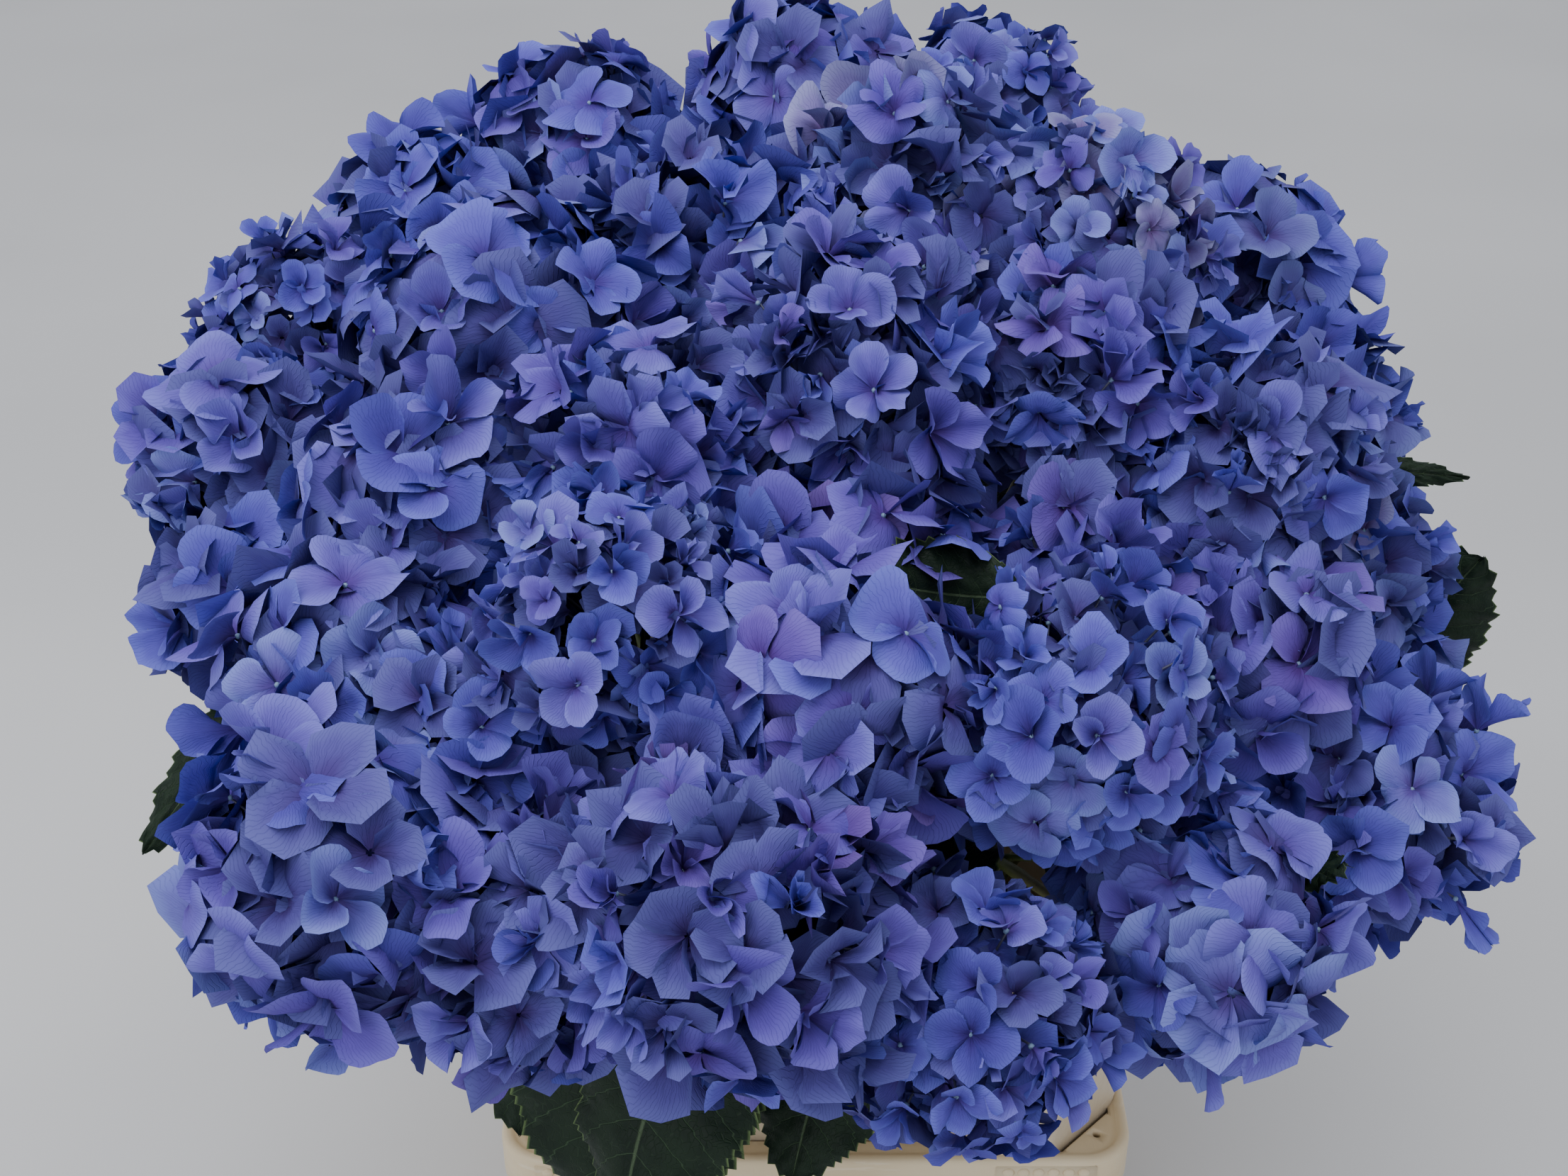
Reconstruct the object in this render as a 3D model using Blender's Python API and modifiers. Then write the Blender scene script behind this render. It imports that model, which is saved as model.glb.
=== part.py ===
# A bunch of cut hydrangea stems standing in a plastic flower bucket with a collar.
# Units are metres, +Z is up, and the origin is the middle of the bucket's underside.

import math
import random

import bpy
import bmesh
from mathutils import Matrix, Vector
from mathutils.bvhtree import BVHTree

SEED = 41
GAP = 0.0003                    # free space kept between neighbouring solids

# --- bucket and collar ------------------------------------------------------------
BUCKET_H = 0.200
RIM = (0.200, 0.150)            # half width and half depth of the rim band
BAND_H = 0.035
WALL_TOP = (0.192, 0.143)       # half sizes of the tapering wall just under the band
WALL_FOOT = (0.168, 0.121)
WALL = 0.003
CORNER_R = 0.030
DECK = (0.188, 0.196)           # underside and top of the deck inside the rim

COLLAR_HALF = (0.1935, 0.1450)
COLLAR_CUT = 0.048              # corner chamfer
COLLAR_RECESS = (0.092, 0.017)  # half width and depth of the set-back middle
COLLAR_TOP = 0.400
COLLAR_FLARE = 0.018
COLLAR_WALL = 0.0025
HAND_HOLE = (0.066, 0.237, 0.297)   # half width, lower and upper edge

# --- blooms: across, depth, height of the middle, radius --------------------------
BLOOMS = {
    "front_left": (-0.225, -0.300, 0.562, 0.075),
    "front_in_left": (-0.140, -0.310, 0.545, 0.066),
    "front_mid": (-0.042, -0.348, 0.581, 0.074),
    "front_mid_right": (0.062, -0.335, 0.515, 0.068),
    "front_right": (0.180, -0.270, 0.502, 0.067),
    "right_low": (0.288, -0.150, 0.488, 0.080),
    "left_mid": (-0.233, -0.190, 0.600, 0.069),
    "mid_left": (-0.094, -0.225, 0.653, 0.069),
    "mid_centre": (0.006, -0.260, 0.636, 0.066),
    "mid_right": (0.108, -0.240, 0.613, 0.078),
    "right_in": (0.218, -0.150, 0.578, 0.061),
    "left_low": (-0.299, -0.090, 0.579, 0.052),
    "inner_left": (-0.206, -0.112, 0.648, 0.063),
    "inner_mid": (-0.100, -0.100, 0.661, 0.068),
    "top_mid_front": (0.018, -0.060, 0.690, 0.077),
    "inner_right": (0.217, -0.070, 0.650, 0.067),
    "right_mid": (0.288, -0.035, 0.547, 0.063),
    "left_up": (-0.324, -0.010, 0.625, 0.057),
    "left_top": (-0.296, 0.065, 0.664, 0.060),
    "top_left": (-0.181, 0.010, 0.689, 0.082),
    "top_mid_back": (0.056, 0.080, 0.725, 0.081),
    "top_mid_right": (0.133, -0.045, 0.684, 0.063),
    "filler": (0.155, 0.055, 0.728, 0.061),
    "right_up": (0.286, 0.080, 0.602, 0.057),
    "top_right": (0.254, 0.145, 0.656, 0.070),
    "back_left_low": (-0.238, 0.145, 0.693, 0.053),
    "back_left": (-0.146, 0.200, 0.714, 0.072),
    "back_mid": (-0.009, 0.215, 0.751, 0.061),
    "back_right": (0.104, 0.205, 0.737, 0.069),
    "deep_left": (-0.165, -0.218, 0.580, 0.066),
    "deep_mid": (0.022, -0.165, 0.620, 0.070),
    "deep_right": (0.136, -0.125, 0.598, 0.066),
    "deep_back": (-0.062, 0.085, 0.698, 0.070),
    "rear_left": (-0.215, 0.275, 0.590, 0.082),
    "rear_mid": (-0.010, 0.310, 0.610, 0.085),
    "rear_right": (0.195, 0.275, 0.585, 0.084),
}
# A side branch carries the second bloom of each of these pairs.
FORKS = {"left_mid": "inner_left", "left_up": "left_low", "inner_right": "right_in",
         "mid_left": "inner_mid", "back_mid": "rear_mid",
         "top_mid_front": "top_mid_right", "front_left": "deep_left",
         "mid_centre": "deep_mid", "mid_right": "deep_right", "top_mid_back": "deep_back",
         "right_low": "right_mid", "back_left": "back_left_low", "back_right": "filler",
         "top_left": "left_top"}

CORE = 0.88                     # core radius as a share of the bloom's
DEEP = 1.30                     # the side towards the stem is this much longer
SEAT = 0.90                     # how far out the stem meets the core
CROWN_FOOT = Vector((0.0, 0.0, 0.38))
FLORET_SHARE = 0.44             # a floret's radius as a share of its bloom's
FLORETS_AROUND = 10             # on a bloom that is whole on all sides

# --- stems and leaves -------------------------------------------------------------
STEM_FOOT_R = 0.0040
STEM_TIP_R = 0.0028
FOOT_SPREAD = (0.40, 0.28)      # foot's place as a share of the bloom's
EXIT_SPREAD = (0.50, 0.33)      # the same where the stem passes the collar's edge
EXIT_Z = 0.408
STEM_STEPS = 5
STRAIGHT_END = 0.006            # squared-off length at both ends
PETIOLE_R = 0.0019
BLADE_T = 0.0018
BLADE_STEPS = 5

# A leaf by rule on each other stem: the first of these places that is free.
LEAF_TRIES = [(share, turn) for share in (0.78, 0.70, 0.62)
              for turn in (0, 35, -35, 70, -70, 110, -110, 150, -150)]
LEAF_SHAPE = (8, -45, 0.032, 0.115, 0.078)   # pitches, petiole, blade, width

# stem, share of its length, heading, pitch at blade's foot and tip, petiole, blade, width
LEAVES = [
    ("front_mid", 0.70, -110, -18, -88, 0.050, 0.165, 0.105),
    ("front_in_left", 0.66, -90, -24, -86, 0.035, 0.185, 0.130),
    ("front_left", 0.66, -118, -30, -78, 0.030, 0.130, 0.080),
    ("front_mid_right", 0.66, -84, -34, -80, 0.035, 0.140, 0.100),
    ("left_up", 0.62, -160, -4, -50, 0.060, 0.150, 0.090),
    ("right_up", 0.72, 8, 2, -32, 0.050, 0.125, 0.080),
    ("rear_left", 0.70, 115, -10, -70, 0.050, 0.140, 0.095),
    ("rear_right", 0.70, 70, -10, -70, 0.050, 0.140, 0.095),
]


# --- helpers ----------------------------------------------------------------------
def material(name, colour, roughness):
    mat = bpy.data.materials.new(name)
    mat.use_nodes = True
    bsdf = mat.node_tree.nodes["Principled BSDF"]
    bsdf.inputs["Base Color"].default_value = (*colour, 1.0)
    bsdf.inputs["Roughness"].default_value = roughness
    bsdf.inputs["Metallic"].default_value = 0.0
    return mat


def make_object(name, bm, mat, home):
    mesh = bpy.data.meshes.new(name)
    bm.to_mesh(mesh)
    bm.free()
    obj = bpy.data.objects.new(name, mesh)
    obj.data.materials.append(mat)
    home.objects.link(obj)
    return obj


def frozen(obj, name, mat, home):
    """The evaluated mesh of obj as a new object; obj itself goes."""
    bpy.context.view_layer.update()
    graph = bpy.context.evaluated_depsgraph_get()
    mesh = bpy.data.meshes.new_from_object(obj.evaluated_get(graph))
    mesh.name = name
    new = bpy.data.objects.new(name, mesh)
    new.matrix_world = obj.matrix_world.copy()
    mesh.materials.clear()
    mesh.materials.append(mat)
    home.objects.link(new)
    bpy.data.objects.remove(obj, do_unlink=True)
    return new


def keep_largest(obj):
    """Welds the mesh and drops loose scraps and sealed hollows."""
    bm = bmesh.new()
    bm.from_mesh(obj.data)
    bmesh.ops.remove_doubles(bm, verts=bm.verts, dist=1e-5)
    bmesh.ops.dissolve_degenerate(bm, edges=bm.edges, dist=1e-5)
    bm.faces.ensure_lookup_table()
    left = set(bm.faces)
    shells = []
    while left:
        shell = {left.pop()}
        edge = list(shell)
        while edge:
            face = edge.pop()
            for e in face.edges:
                for other in e.link_faces:
                    if other in left:
                        left.discard(other)
                        shell.add(other)
                        edge.append(other)
        shells.append(shell)
    shells.sort(key=lambda s: sum(f.calc_area() for f in s))
    scraps = [f for s in shells[:-1] for f in s]
    if scraps:
        bmesh.ops.delete(bm, geom=scraps, context="FACES")
    bmesh.ops.dissolve_limit(bm, angle_limit=math.radians(0.4), verts=bm.verts, edges=bm.edges)
    bmesh.ops.triangulate(bm, faces=bm.faces)
    bm.to_mesh(obj.data)
    bm.free()
    return obj


def fuse(base, extras, name, mat, home, solver="MANIFOLD"):
    """One Boolean union of base with a collection of extras, applied."""
    if extras:
        group = bpy.data.collections.new(name + "_extras")
        bpy.context.scene.collection.children.link(group)
        for extra in extras:
            for old in list(extra.users_collection):
                old.objects.unlink(extra)
            group.objects.link(extra)
        union = base.modifiers.new("union", "BOOLEAN")
        union.operation = "UNION"
        union.operand_type = "COLLECTION"
        union.collection = group
        union.solver = solver
    new = frozen(base, name, mat, home)
    if extras:
        for extra in list(group.objects):
            bpy.data.objects.remove(extra, do_unlink=True)
        bpy.data.collections.remove(group)
    return keep_largest(new)


def slab(name, outline, z0, z1, mat, home):
    """A flat plate with the given outline between two heights."""
    bm = bmesh.new()
    face = bm.faces.new([bm.verts.new((x, y, z0)) for x, y in outline])
    side = bmesh.ops.extrude_face_region(bm, geom=[face])
    lifted = [v for v in side["geom"] if isinstance(v, bmesh.types.BMVert)]
    bmesh.ops.translate(bm, verts=lifted, vec=(0, 0, z1 - z0))
    bmesh.ops.recalc_face_normals(bm, faces=bm.faces)
    return make_object(name, bm, mat, home)


def rounded_outline(half_x, half_y, radius, steps=3):
    points = []
    for corner, (sx, sy) in enumerate(((1, 1), (-1, 1), (-1, -1), (1, -1))):
        for i in range(steps + 1):
            a = math.radians(90 * (corner + i / steps))
            points.append((sx * (half_x - radius) + radius * math.cos(a),
                           sy * (half_y - radius) + radius * math.sin(a)))
    return points


def collar_outline(grow, recess_depth=COLLAR_RECESS[1]):
    """Chamfered rectangle whose two long sides are set back in the middle."""
    hx, hy = COLLAR_HALF[0] + grow, COLLAR_HALF[1] + grow
    cut = COLLAR_CUT
    inner = COLLAR_RECESS[0]
    slope = 0.006
    quarter = [(hx, hy - cut), (hx - cut, hy), (inner + slope, hy), (inner, hy - recess_depth)]
    left = [(-x, y) for x, y in reversed(quarter)]
    top = quarter + left
    return top + [(-x, -y) for x, y in top]


def loft(bm, rings, closed_foot):
    """Rings of equal count joined by quads; returns nothing, builds into bm."""
    rows = [[bm.verts.new((x, y, z)) for x, y in outline] for outline, z in rings]
    count = len(rows[0])
    for low, high in zip(rows, rows[1:]):
        for i in range(count):
            j = (i + 1) % count
            bm.faces.new((low[i], low[j], high[j], high[i]))
    if closed_foot:
        bm.faces.new(list(reversed(rows[0])))


# --- container --------------------------------------------------------------------
def build_bucket(mat, home):
    band_foot = BUCKET_H - BAND_H
    bm = bmesh.new()
    loft(bm, [
        (rounded_outline(WALL_FOOT[0] - 0.004, WALL_FOOT[1] - 0.004, CORNER_R), 0.0),
        (rounded_outline(*WALL_FOOT, CORNER_R), 0.004),
        (rounded_outline(*WALL_TOP, CORNER_R), band_foot),
        (rounded_outline(*RIM, CORNER_R), band_foot),
        (rounded_outline(*RIM, CORNER_R), BUCKET_H - 0.003),
        (rounded_outline(RIM[0] - 0.002, RIM[1] - 0.002, CORNER_R), BUCKET_H),
    ], closed_foot=True)
    shell = make_object("bucket_shell", bm, mat, home)
    thick = shell.modifiers.new("wall", "SOLIDIFY")
    thick.thickness = WALL
    thick.offset = -1.0
    thick.use_even_offset = True

    deck = slab("deck", rounded_outline(RIM[0] - 0.002, RIM[1] - 0.002, CORNER_R),
                *DECK, mat, home)
    hole = slab("deck_hole", collar_outline(0.0012, recess_depth=0.012),
                DECK[0] - 0.01, DECK[1] + 0.01, mat, home)
    cut = deck.modifiers.new("opening", "BOOLEAN")
    cut.operation = "DIFFERENCE"
    cut.object = hole
    deck = frozen(deck, "deck_ring", mat, home)
    bpy.data.objects.remove(hole, do_unlink=True)
    return fuse(shell, [deck], "bucket", mat, home, solver="EXACT")


def build_collar(mat, home):
    foot = BUCKET_H - BAND_H + WALL + GAP
    bm = bmesh.new()
    loft(bm, [(collar_outline(0.0), foot), (collar_outline(0.0), BUCKET_H),
              (collar_outline(COLLAR_FLARE), COLLAR_TOP)], closed_foot=False)
    wall = make_object("collar_wall", bm, mat, home)
    thick = wall.modifiers.new("wall", "SOLIDIFY")
    thick.thickness = COLLAR_WALL
    thick.offset = -1.0
    thick.use_even_offset = True
    half, low, high = HAND_HOLE
    box = slab("hand_hole", rounded_outline(half, 0.30, 0.001, steps=1), low, high, mat, home)
    cut = wall.modifiers.new("hand_holes", "BOOLEAN")
    cut.operation = "DIFFERENCE"
    cut.object = box
    wall = frozen(wall, "collar", mat, home)
    bpy.data.objects.remove(box, do_unlink=True)
    return keep_largest(wall)


# --- stems ------------------------------------------------------------------------
def stem_axis(name):
    """Unit vector from a bloom's middle to where its stem comes in."""
    x, y, z, r = BLOOMS[name]
    edge = Vector((x * EXIT_SPREAD[0], y * EXIT_SPREAD[1], EXIT_Z))
    inward = (edge - Vector((x, y, z))).normalized()
    return (inward * 0.75 + Vector((0, 0, -1)) * 0.45).normalized()


def hermite(p0, p1, t0, t1, u):
    a, b = u * u, u * u * u
    return (p0 * (2 * b - 3 * a + 1) + t0 * (b - 2 * a + u)
            + p1 * (3 * a - 2 * b) + t1 * (b - a))


def stem_path(name):
    """Points from the bucket's floor, past the collar's edge, to the bloom's seat."""
    x, y, z, r = BLOOMS[name]
    axis = stem_axis(name)
    tip = Vector((x, y, z)) + axis * (r * SEAT + GAP)
    foot = Vector((x * FOOT_SPREAD[0], y * FOOT_SPREAD[1], WALL + GAP))
    edge = Vector((x * EXIT_SPREAD[0], y * EXIT_SPREAD[1], EXIT_Z))
    along = ((edge - foot).normalized() + (tip - edge).normalized()).normalized()
    low, high = (edge - foot).length, (tip - edge).length
    base, neck = foot + Vector((0, 0, STRAIGHT_END)), tip + axis * STRAIGHT_END
    points = [foot]
    points += [hermite(base, edge, Vector((0, 0, low)), along * low, i / 3) for i in range(3)]
    steps = STEM_STEPS - 3
    points += [hermite(edge, neck, along * high, -axis * high, i / steps)
               for i in range(steps + 1)]
    return points + [tip]


def tube(name, points, radius_foot, radius_tip, mat, home, sides=2):
    """A round tapering rod along the points, as a closed mesh."""
    curve = bpy.data.curves.new(name, "CURVE")
    curve.dimensions = "3D"
    curve.bevel_depth = 1.0
    curve.bevel_resolution = sides - 1
    curve.use_fill_caps = True
    spline = curve.splines.new("POLY")
    spline.points.add(len(points) - 1)
    for i, point in enumerate(points):
        spline.points[i].co = (*point, 1.0)
        share = i / (len(points) - 1)
        spline.points[i].radius = radius_foot + (radius_tip - radius_foot) * share
    rod = bpy.data.objects.new(name, curve)
    home.objects.link(rod)
    mesh_rod = frozen(rod, name, mat, home)
    bm = bmesh.new()
    bm.from_mesh(mesh_rod.data)
    bmesh.ops.remove_doubles(bm, verts=bm.verts, dist=1e-5)
    bmesh.ops.recalc_face_normals(bm, faces=bm.faces)
    bm.to_mesh(mesh_rod.data)
    bm.free()
    return mesh_rod


def point_along(points, share):
    place = share * (len(points) - 1)
    i = min(int(place), len(points) - 2)
    return points[i].lerp(points[i + 1], place - i)


def side_branch(parent, child, mat, home):
    """A branch from the parent's stem to the child bloom's seat."""
    x, y, z, r = BLOOMS[child]
    axis = stem_axis(child)
    tip = Vector((x, y, z)) + axis * (r * SEAT + GAP)
    path = stem_path(parent)
    start = point_along(path, 0.50)
    rise = point_along(path, 0.62) - start
    reach = (tip - start).length
    neck = tip + axis * STRAIGHT_END
    points = [hermite(start, neck, rise.normalized() * reach * 0.8, -axis * reach, i / 4)
              for i in range(5)] + [tip]
    return tube("branch", points, STEM_TIP_R * 1.1, STEM_TIP_R * 0.9, mat, home)


# --- leaves -----------------------------------------------------------------------
def leaf_line(start, heading, pitch0, pitch1, length, steps):
    """Points that leave on a heading while the pitch turns evenly."""
    across = Vector((math.cos(math.radians(heading)), math.sin(math.radians(heading)), 0))
    points = [start.copy()]
    for i in range(steps):
        pitch = math.radians(pitch0 + (pitch1 - pitch0) * (i + 0.5) / steps)
        step = across * math.cos(pitch) + Vector((0, 0, math.sin(pitch)))
        points.append(points[-1] + step * (length / steps))
    return points


def blade(name, points, heading, width, mat, home):
    """An oval pointed blade, folded a little along its midrib."""
    side = Vector((-math.sin(math.radians(heading)), math.cos(math.radians(heading)), 0))
    bm = bmesh.new()
    rows = []
    last = len(points) - 1
    for i, point in enumerate(points):
        if i in (0, last):
            rows.append([bm.verts.new(point)])
            continue
        share = i / last
        half = width / 2 * math.sin(math.pi * share ** 0.82) ** 0.75
        ahead = (points[i + 1] - points[i - 1]).normalized()
        lift = side.cross(ahead) * -half * 0.14
        rows.append([bm.verts.new(point + side * half + lift), bm.verts.new(point),
                     bm.verts.new(point - side * half + lift)])
    for low, high in zip(rows, rows[1:]):
        if len(low) == 1:
            bm.faces.new((low[0], high[1], high[0]))
            bm.faces.new((low[0], high[2], high[1]))
        elif len(high) == 1:
            bm.faces.new((low[0], low[1], high[0]))
            bm.faces.new((low[1], low[2], high[0]))
        else:
            bm.faces.new((low[0], low[1], high[1], high[0]))
            bm.faces.new((low[1], low[2], high[2], high[1]))
    bmesh.ops.recalc_face_normals(bm, faces=bm.faces)
    flat = make_object(name, bm, mat, home)
    thick = flat.modifiers.new("thickness", "SOLIDIFY")
    thick.thickness = BLADE_T
    thick.offset = 0.0
    return frozen(flat, name, mat, home)


def leaf_parts(path, leaf, mat, home):
    share, heading, pitch0, pitch1, petiole, length, width = leaf
    start = point_along(path, share)
    stalk = leaf_line(start, heading, 20, pitch0, petiole, 2)
    line = leaf_line(stalk[-1], heading, pitch0, pitch1, length, BLADE_STEPS)
    stalk.append(line[0].lerp(line[1], 0.6))
    return (tube("petiole", stalk, PETIOLE_R, PETIOLE_R * 0.8, mat, home, sides=1),
            blade("blade", line, heading, width, mat, home))


def tree_of(obj):
    return BVHTree.FromPolygons([v.co for v in obj.data.vertices],
                                [p.vertices for p in obj.data.polygons])


def near(obj, trees, distance):
    """Whether an object crosses one of the trees or comes closer than the distance."""
    own = tree_of(obj)
    if any(own.overlap(tree) for tree in trees):
        return True
    return any(tree.find_nearest(v.co, distance)[0] is not None
               for tree in trees for v in obj.data.vertices)


def in_a_bloom(point, margin):
    """Whether a point lies in the space of a bloom or of its deep side."""
    for name, (x, y, z, r) in BLOOMS.items():
        away = point - Vector((x, y, z))
        axis = stem_axis(name)
        down = min(max(away.dot(axis), 0.0), r * (DEEP - 1))
        if (away - axis * down).length < r + margin:
            return True
    return False


def build_stems(mat, home, collar):
    """Every stem with its side branch and leaves, each fused to one solid."""
    names = [name for name in BLOOMS if name not in set(FORKS.values())]
    rods, extras = {}, {}
    for name in names:
        rods[name] = tube("rod", stem_path(name), STEM_FOOT_R, STEM_TIP_R, mat, home)
        extras[name] = []
        if name in FORKS:
            extras[name].append(side_branch(name, FORKS[name], mat, home))
    wood = {name: [tree_of(o) for o in [rods[name]] + extras[name]] for name in names}
    placed = {name: [] for name in names}

    def others(name):
        trees = [tree_of(collar)]
        for other in names:
            trees += placed[other] + (wood[other] if other != name else [])
        return trees

    for name, *leaf in LEAVES:
        pieces = leaf_parts(stem_path(name), leaf, mat, home)
        extras[name] += pieces
        placed[name] += [tree_of(piece) for piece in pieces]
    for name in names:
        if any(leaf[0] == name for leaf in LEAVES):
            continue
        x, y = BLOOMS[name][:2]
        outward = math.degrees(math.atan2(y, x))
        for share, turn in LEAF_TRIES:
            leaf = (share, outward + turn, *LEAF_SHAPE)
            pieces = leaf_parts(stem_path(name), leaf, mat, home)
            stalk, leaf_blade = pieces
            trees = others(name)
            free = (not near(leaf_blade, trees + wood[name], 0.0015)
                    and not near(stalk, trees, 0.0015)
                    and not any(in_a_bloom(v.co, 0.002) for v in leaf_blade.data.vertices))
            if free:
                extras[name] += pieces
                placed[name] += [tree_of(piece) for piece in pieces]
                break
            for piece in pieces:
                bpy.data.objects.remove(piece, do_unlink=True)
    return [fuse(rods[name], extras[name], "stem_" + name, mat, home) for name in names]


# --- blooms -----------------------------------------------------------------------
def cell_planes(name):
    """Planes half way to each neighbour, as (normal, distance from the middle)."""
    x, y, z, r = BLOOMS[name]
    here = Vector((x, y, z))
    planes = []
    for other, (ox, oy, oz, other_r) in BLOOMS.items():
        away = Vector((ox, oy, oz)) - here
        reach = away.length
        if other == name or reach > r + other_r + 0.03:
            continue
        share = (reach * reach + r * r - other_r * other_r) / (2 * reach)
        planes.append((away / reach, share - GAP))
    return planes


def inside(point, planes):
    return all(normal.dot(point) <= limit for normal, limit in planes)


def floret(direction, turn, centre_out, spread, mat, home):
    """Four sepals as one closed trumpet whose point is sunk in the core."""
    side = direction.orthogonal().normalized()
    side.rotate(Matrix.Rotation(turn, 3, direction))
    other = direction.cross(side)
    bm = bmesh.new()
    rim = []
    for i in range(8):
        a = math.pi / 4 * i
        out = spread if i % 2 == 0 else spread * 0.66
        drop = -0.12 * spread if i % 2 == 0 else 0.0
        rim.append(bm.verts.new(direction * (centre_out + drop)
                                + (side * math.cos(a) + other * math.sin(a)) * out))
    top = bm.verts.new(direction * (centre_out + 0.05 * spread))
    root = bm.verts.new(direction * centre_out * 0.52)
    for i in range(8):
        bm.faces.new((top, rim[i], rim[(i + 1) % 8]))
        bm.faces.new((root, rim[(i + 1) % 8], rim[i]))
    return bm


def build_bloom(name, mat, home, blockers):
    x, y, z, r = BLOOMS[name]
    here = Vector((x, y, z))
    rng = random.Random(SEED + sorted(BLOOMS).index(name))
    planes = cell_planes(name)
    axis = stem_axis(name)

    bm = bmesh.new()
    bmesh.ops.create_icosphere(bm, subdivisions=2, radius=r * CORE)
    bmesh.ops.rotate(bm, verts=bm.verts, matrix=Matrix.Rotation(rng.uniform(0, 6.28), 3, "Z"))
    for vert in bm.verts:
        vert.co += axis * max(0.0, vert.co.dot(axis)) * (DEEP - 1)
        shrink = 1.0
        for normal, limit in planes:
            ahead = normal.dot(vert.co)
            if ahead > limit:
                shrink = min(shrink, limit / ahead)
        vert.co *= shrink
    seat = bmesh.ops.bisect_plane(bm, geom=bm.verts[:] + bm.edges[:] + bm.faces[:],
                                  plane_co=axis * r * SEAT, plane_no=axis, clear_outer=True)
    rim = [e for e in seat["geom_cut"] if isinstance(e, bmesh.types.BMEdge)]
    bmesh.ops.holes_fill(bm, edges=rim, sides=0)
    bmesh.ops.recalc_face_normals(bm, faces=bm.faces)
    bmesh.ops.translate(bm, verts=bm.verts, vec=here)
    core = make_object("core", bm, mat, home)

    outward = (here - CROWN_FOOT).normalized()
    florets = []
    for i in range(FLORETS_AROUND):
        up = 1 - 2 * (i + 0.5) / FLORETS_AROUND
        angle = i * 2.39996 + rng.uniform(-0.15, 0.15)
        flat = math.sqrt(1 - up * up)
        direction = Vector((flat * math.cos(angle), flat * math.sin(angle), up))
        turn = rng.uniform(0, math.pi / 2)
        wide = rng.uniform(0.92, 1.10)
        if direction.dot(outward) < -0.30 or direction.dot(axis) > 0.55:
            continue
        for size in (1.0, 0.85, 0.7, 0.55):
            spread = r * FLORET_SHARE * wide * size
            centre_out = r * rng.uniform(0.96, 1.02)
            bm = floret(direction, turn, centre_out, spread, mat, home)
            fits = all(inside(v.co, planes) for v in bm.verts)
            bmesh.ops.translate(bm, verts=bm.verts, vec=here)
            if fits and not blocked(bm, blockers):
                bmesh.ops.recalc_face_normals(bm, faces=bm.faces)
                florets.append(make_object("floret", bm, mat, home))
                break
            bm.free()
    return fuse(core, florets, "bloom_" + name, mat, home)


def blocked(bm, blockers):
    """Whether a floret reaches the collar, or comes within 2 mm of a stem or leaf."""
    for vert in bm.verts:
        x, y, z = vert.co
        if (abs(x) < COLLAR_HALF[0] + COLLAR_FLARE + 0.003
                and abs(y) < COLLAR_HALF[1] + COLLAR_FLARE + 0.003
                and z < COLLAR_TOP + 0.003):
            return True
        if any(tree.find_nearest(vert.co, 0.002)[0] is not None for tree in blockers):
            return True
    own = BVHTree.FromBMesh(bm)
    return any(own.overlap(tree) for tree in blockers)


def main():
    for old in list(bpy.data.objects):
        bpy.data.objects.remove(old, do_unlink=True)
    home = bpy.data.collections.new("hydrangea_bunch")
    bpy.context.scene.collection.children.link(home)

    cream = material("bucket_cream", (0.78, 0.68, 0.52), 0.45)
    grey = material("collar_beige", (0.66, 0.60, 0.52), 0.50)
    green = material("stem_green", (0.09, 0.16, 0.05), 0.55)
    blue = material("sepal_blue", (0.10, 0.13, 0.52), 0.60)

    build_bucket(cream, home)
    collar = build_collar(grey, home)
    blockers = [tree_of(stem) for stem in build_stems(green, home, collar)]
    for name in BLOOMS:
        build_bloom(name, blue, home, blockers)


main()
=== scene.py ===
"""A bunch of cut hydrangea stems in a plastic flower bucket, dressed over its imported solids."""
import math

import bmesh
import bpy
import numpy as np
from mathutils import Matrix, Vector


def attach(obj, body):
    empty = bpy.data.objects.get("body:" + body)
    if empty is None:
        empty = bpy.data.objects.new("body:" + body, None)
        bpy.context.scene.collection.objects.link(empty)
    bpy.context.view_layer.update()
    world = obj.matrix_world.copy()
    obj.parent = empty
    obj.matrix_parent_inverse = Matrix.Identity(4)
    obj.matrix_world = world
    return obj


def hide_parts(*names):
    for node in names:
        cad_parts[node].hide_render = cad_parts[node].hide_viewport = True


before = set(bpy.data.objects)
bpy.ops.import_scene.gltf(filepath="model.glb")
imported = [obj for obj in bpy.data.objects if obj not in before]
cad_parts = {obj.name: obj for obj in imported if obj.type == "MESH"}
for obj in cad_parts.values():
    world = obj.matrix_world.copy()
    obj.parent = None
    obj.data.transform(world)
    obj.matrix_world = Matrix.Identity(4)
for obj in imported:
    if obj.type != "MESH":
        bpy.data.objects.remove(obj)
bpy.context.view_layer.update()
rng = np.random.default_rng(509)

# --- Camera ------------------------------------------------------------------------
# It stands in front of the bucket at head height and looks down on the bunch.
def linked(name, data):
    """A new object of the data, in the scene."""
    obj = bpy.data.objects.new(name, data)
    bpy.context.scene.collection.objects.link(obj)
    return obj


camera = linked("camera", bpy.data.cameras.new("camera"))
camera.location = (-0.020, -1.032, 1.200)
camera.rotation_euler = (math.radians(57), 0, 0)
camera.data.lens = 47.2
camera.data.sensor_width = 36
bpy.context.scene.camera = camera


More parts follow.
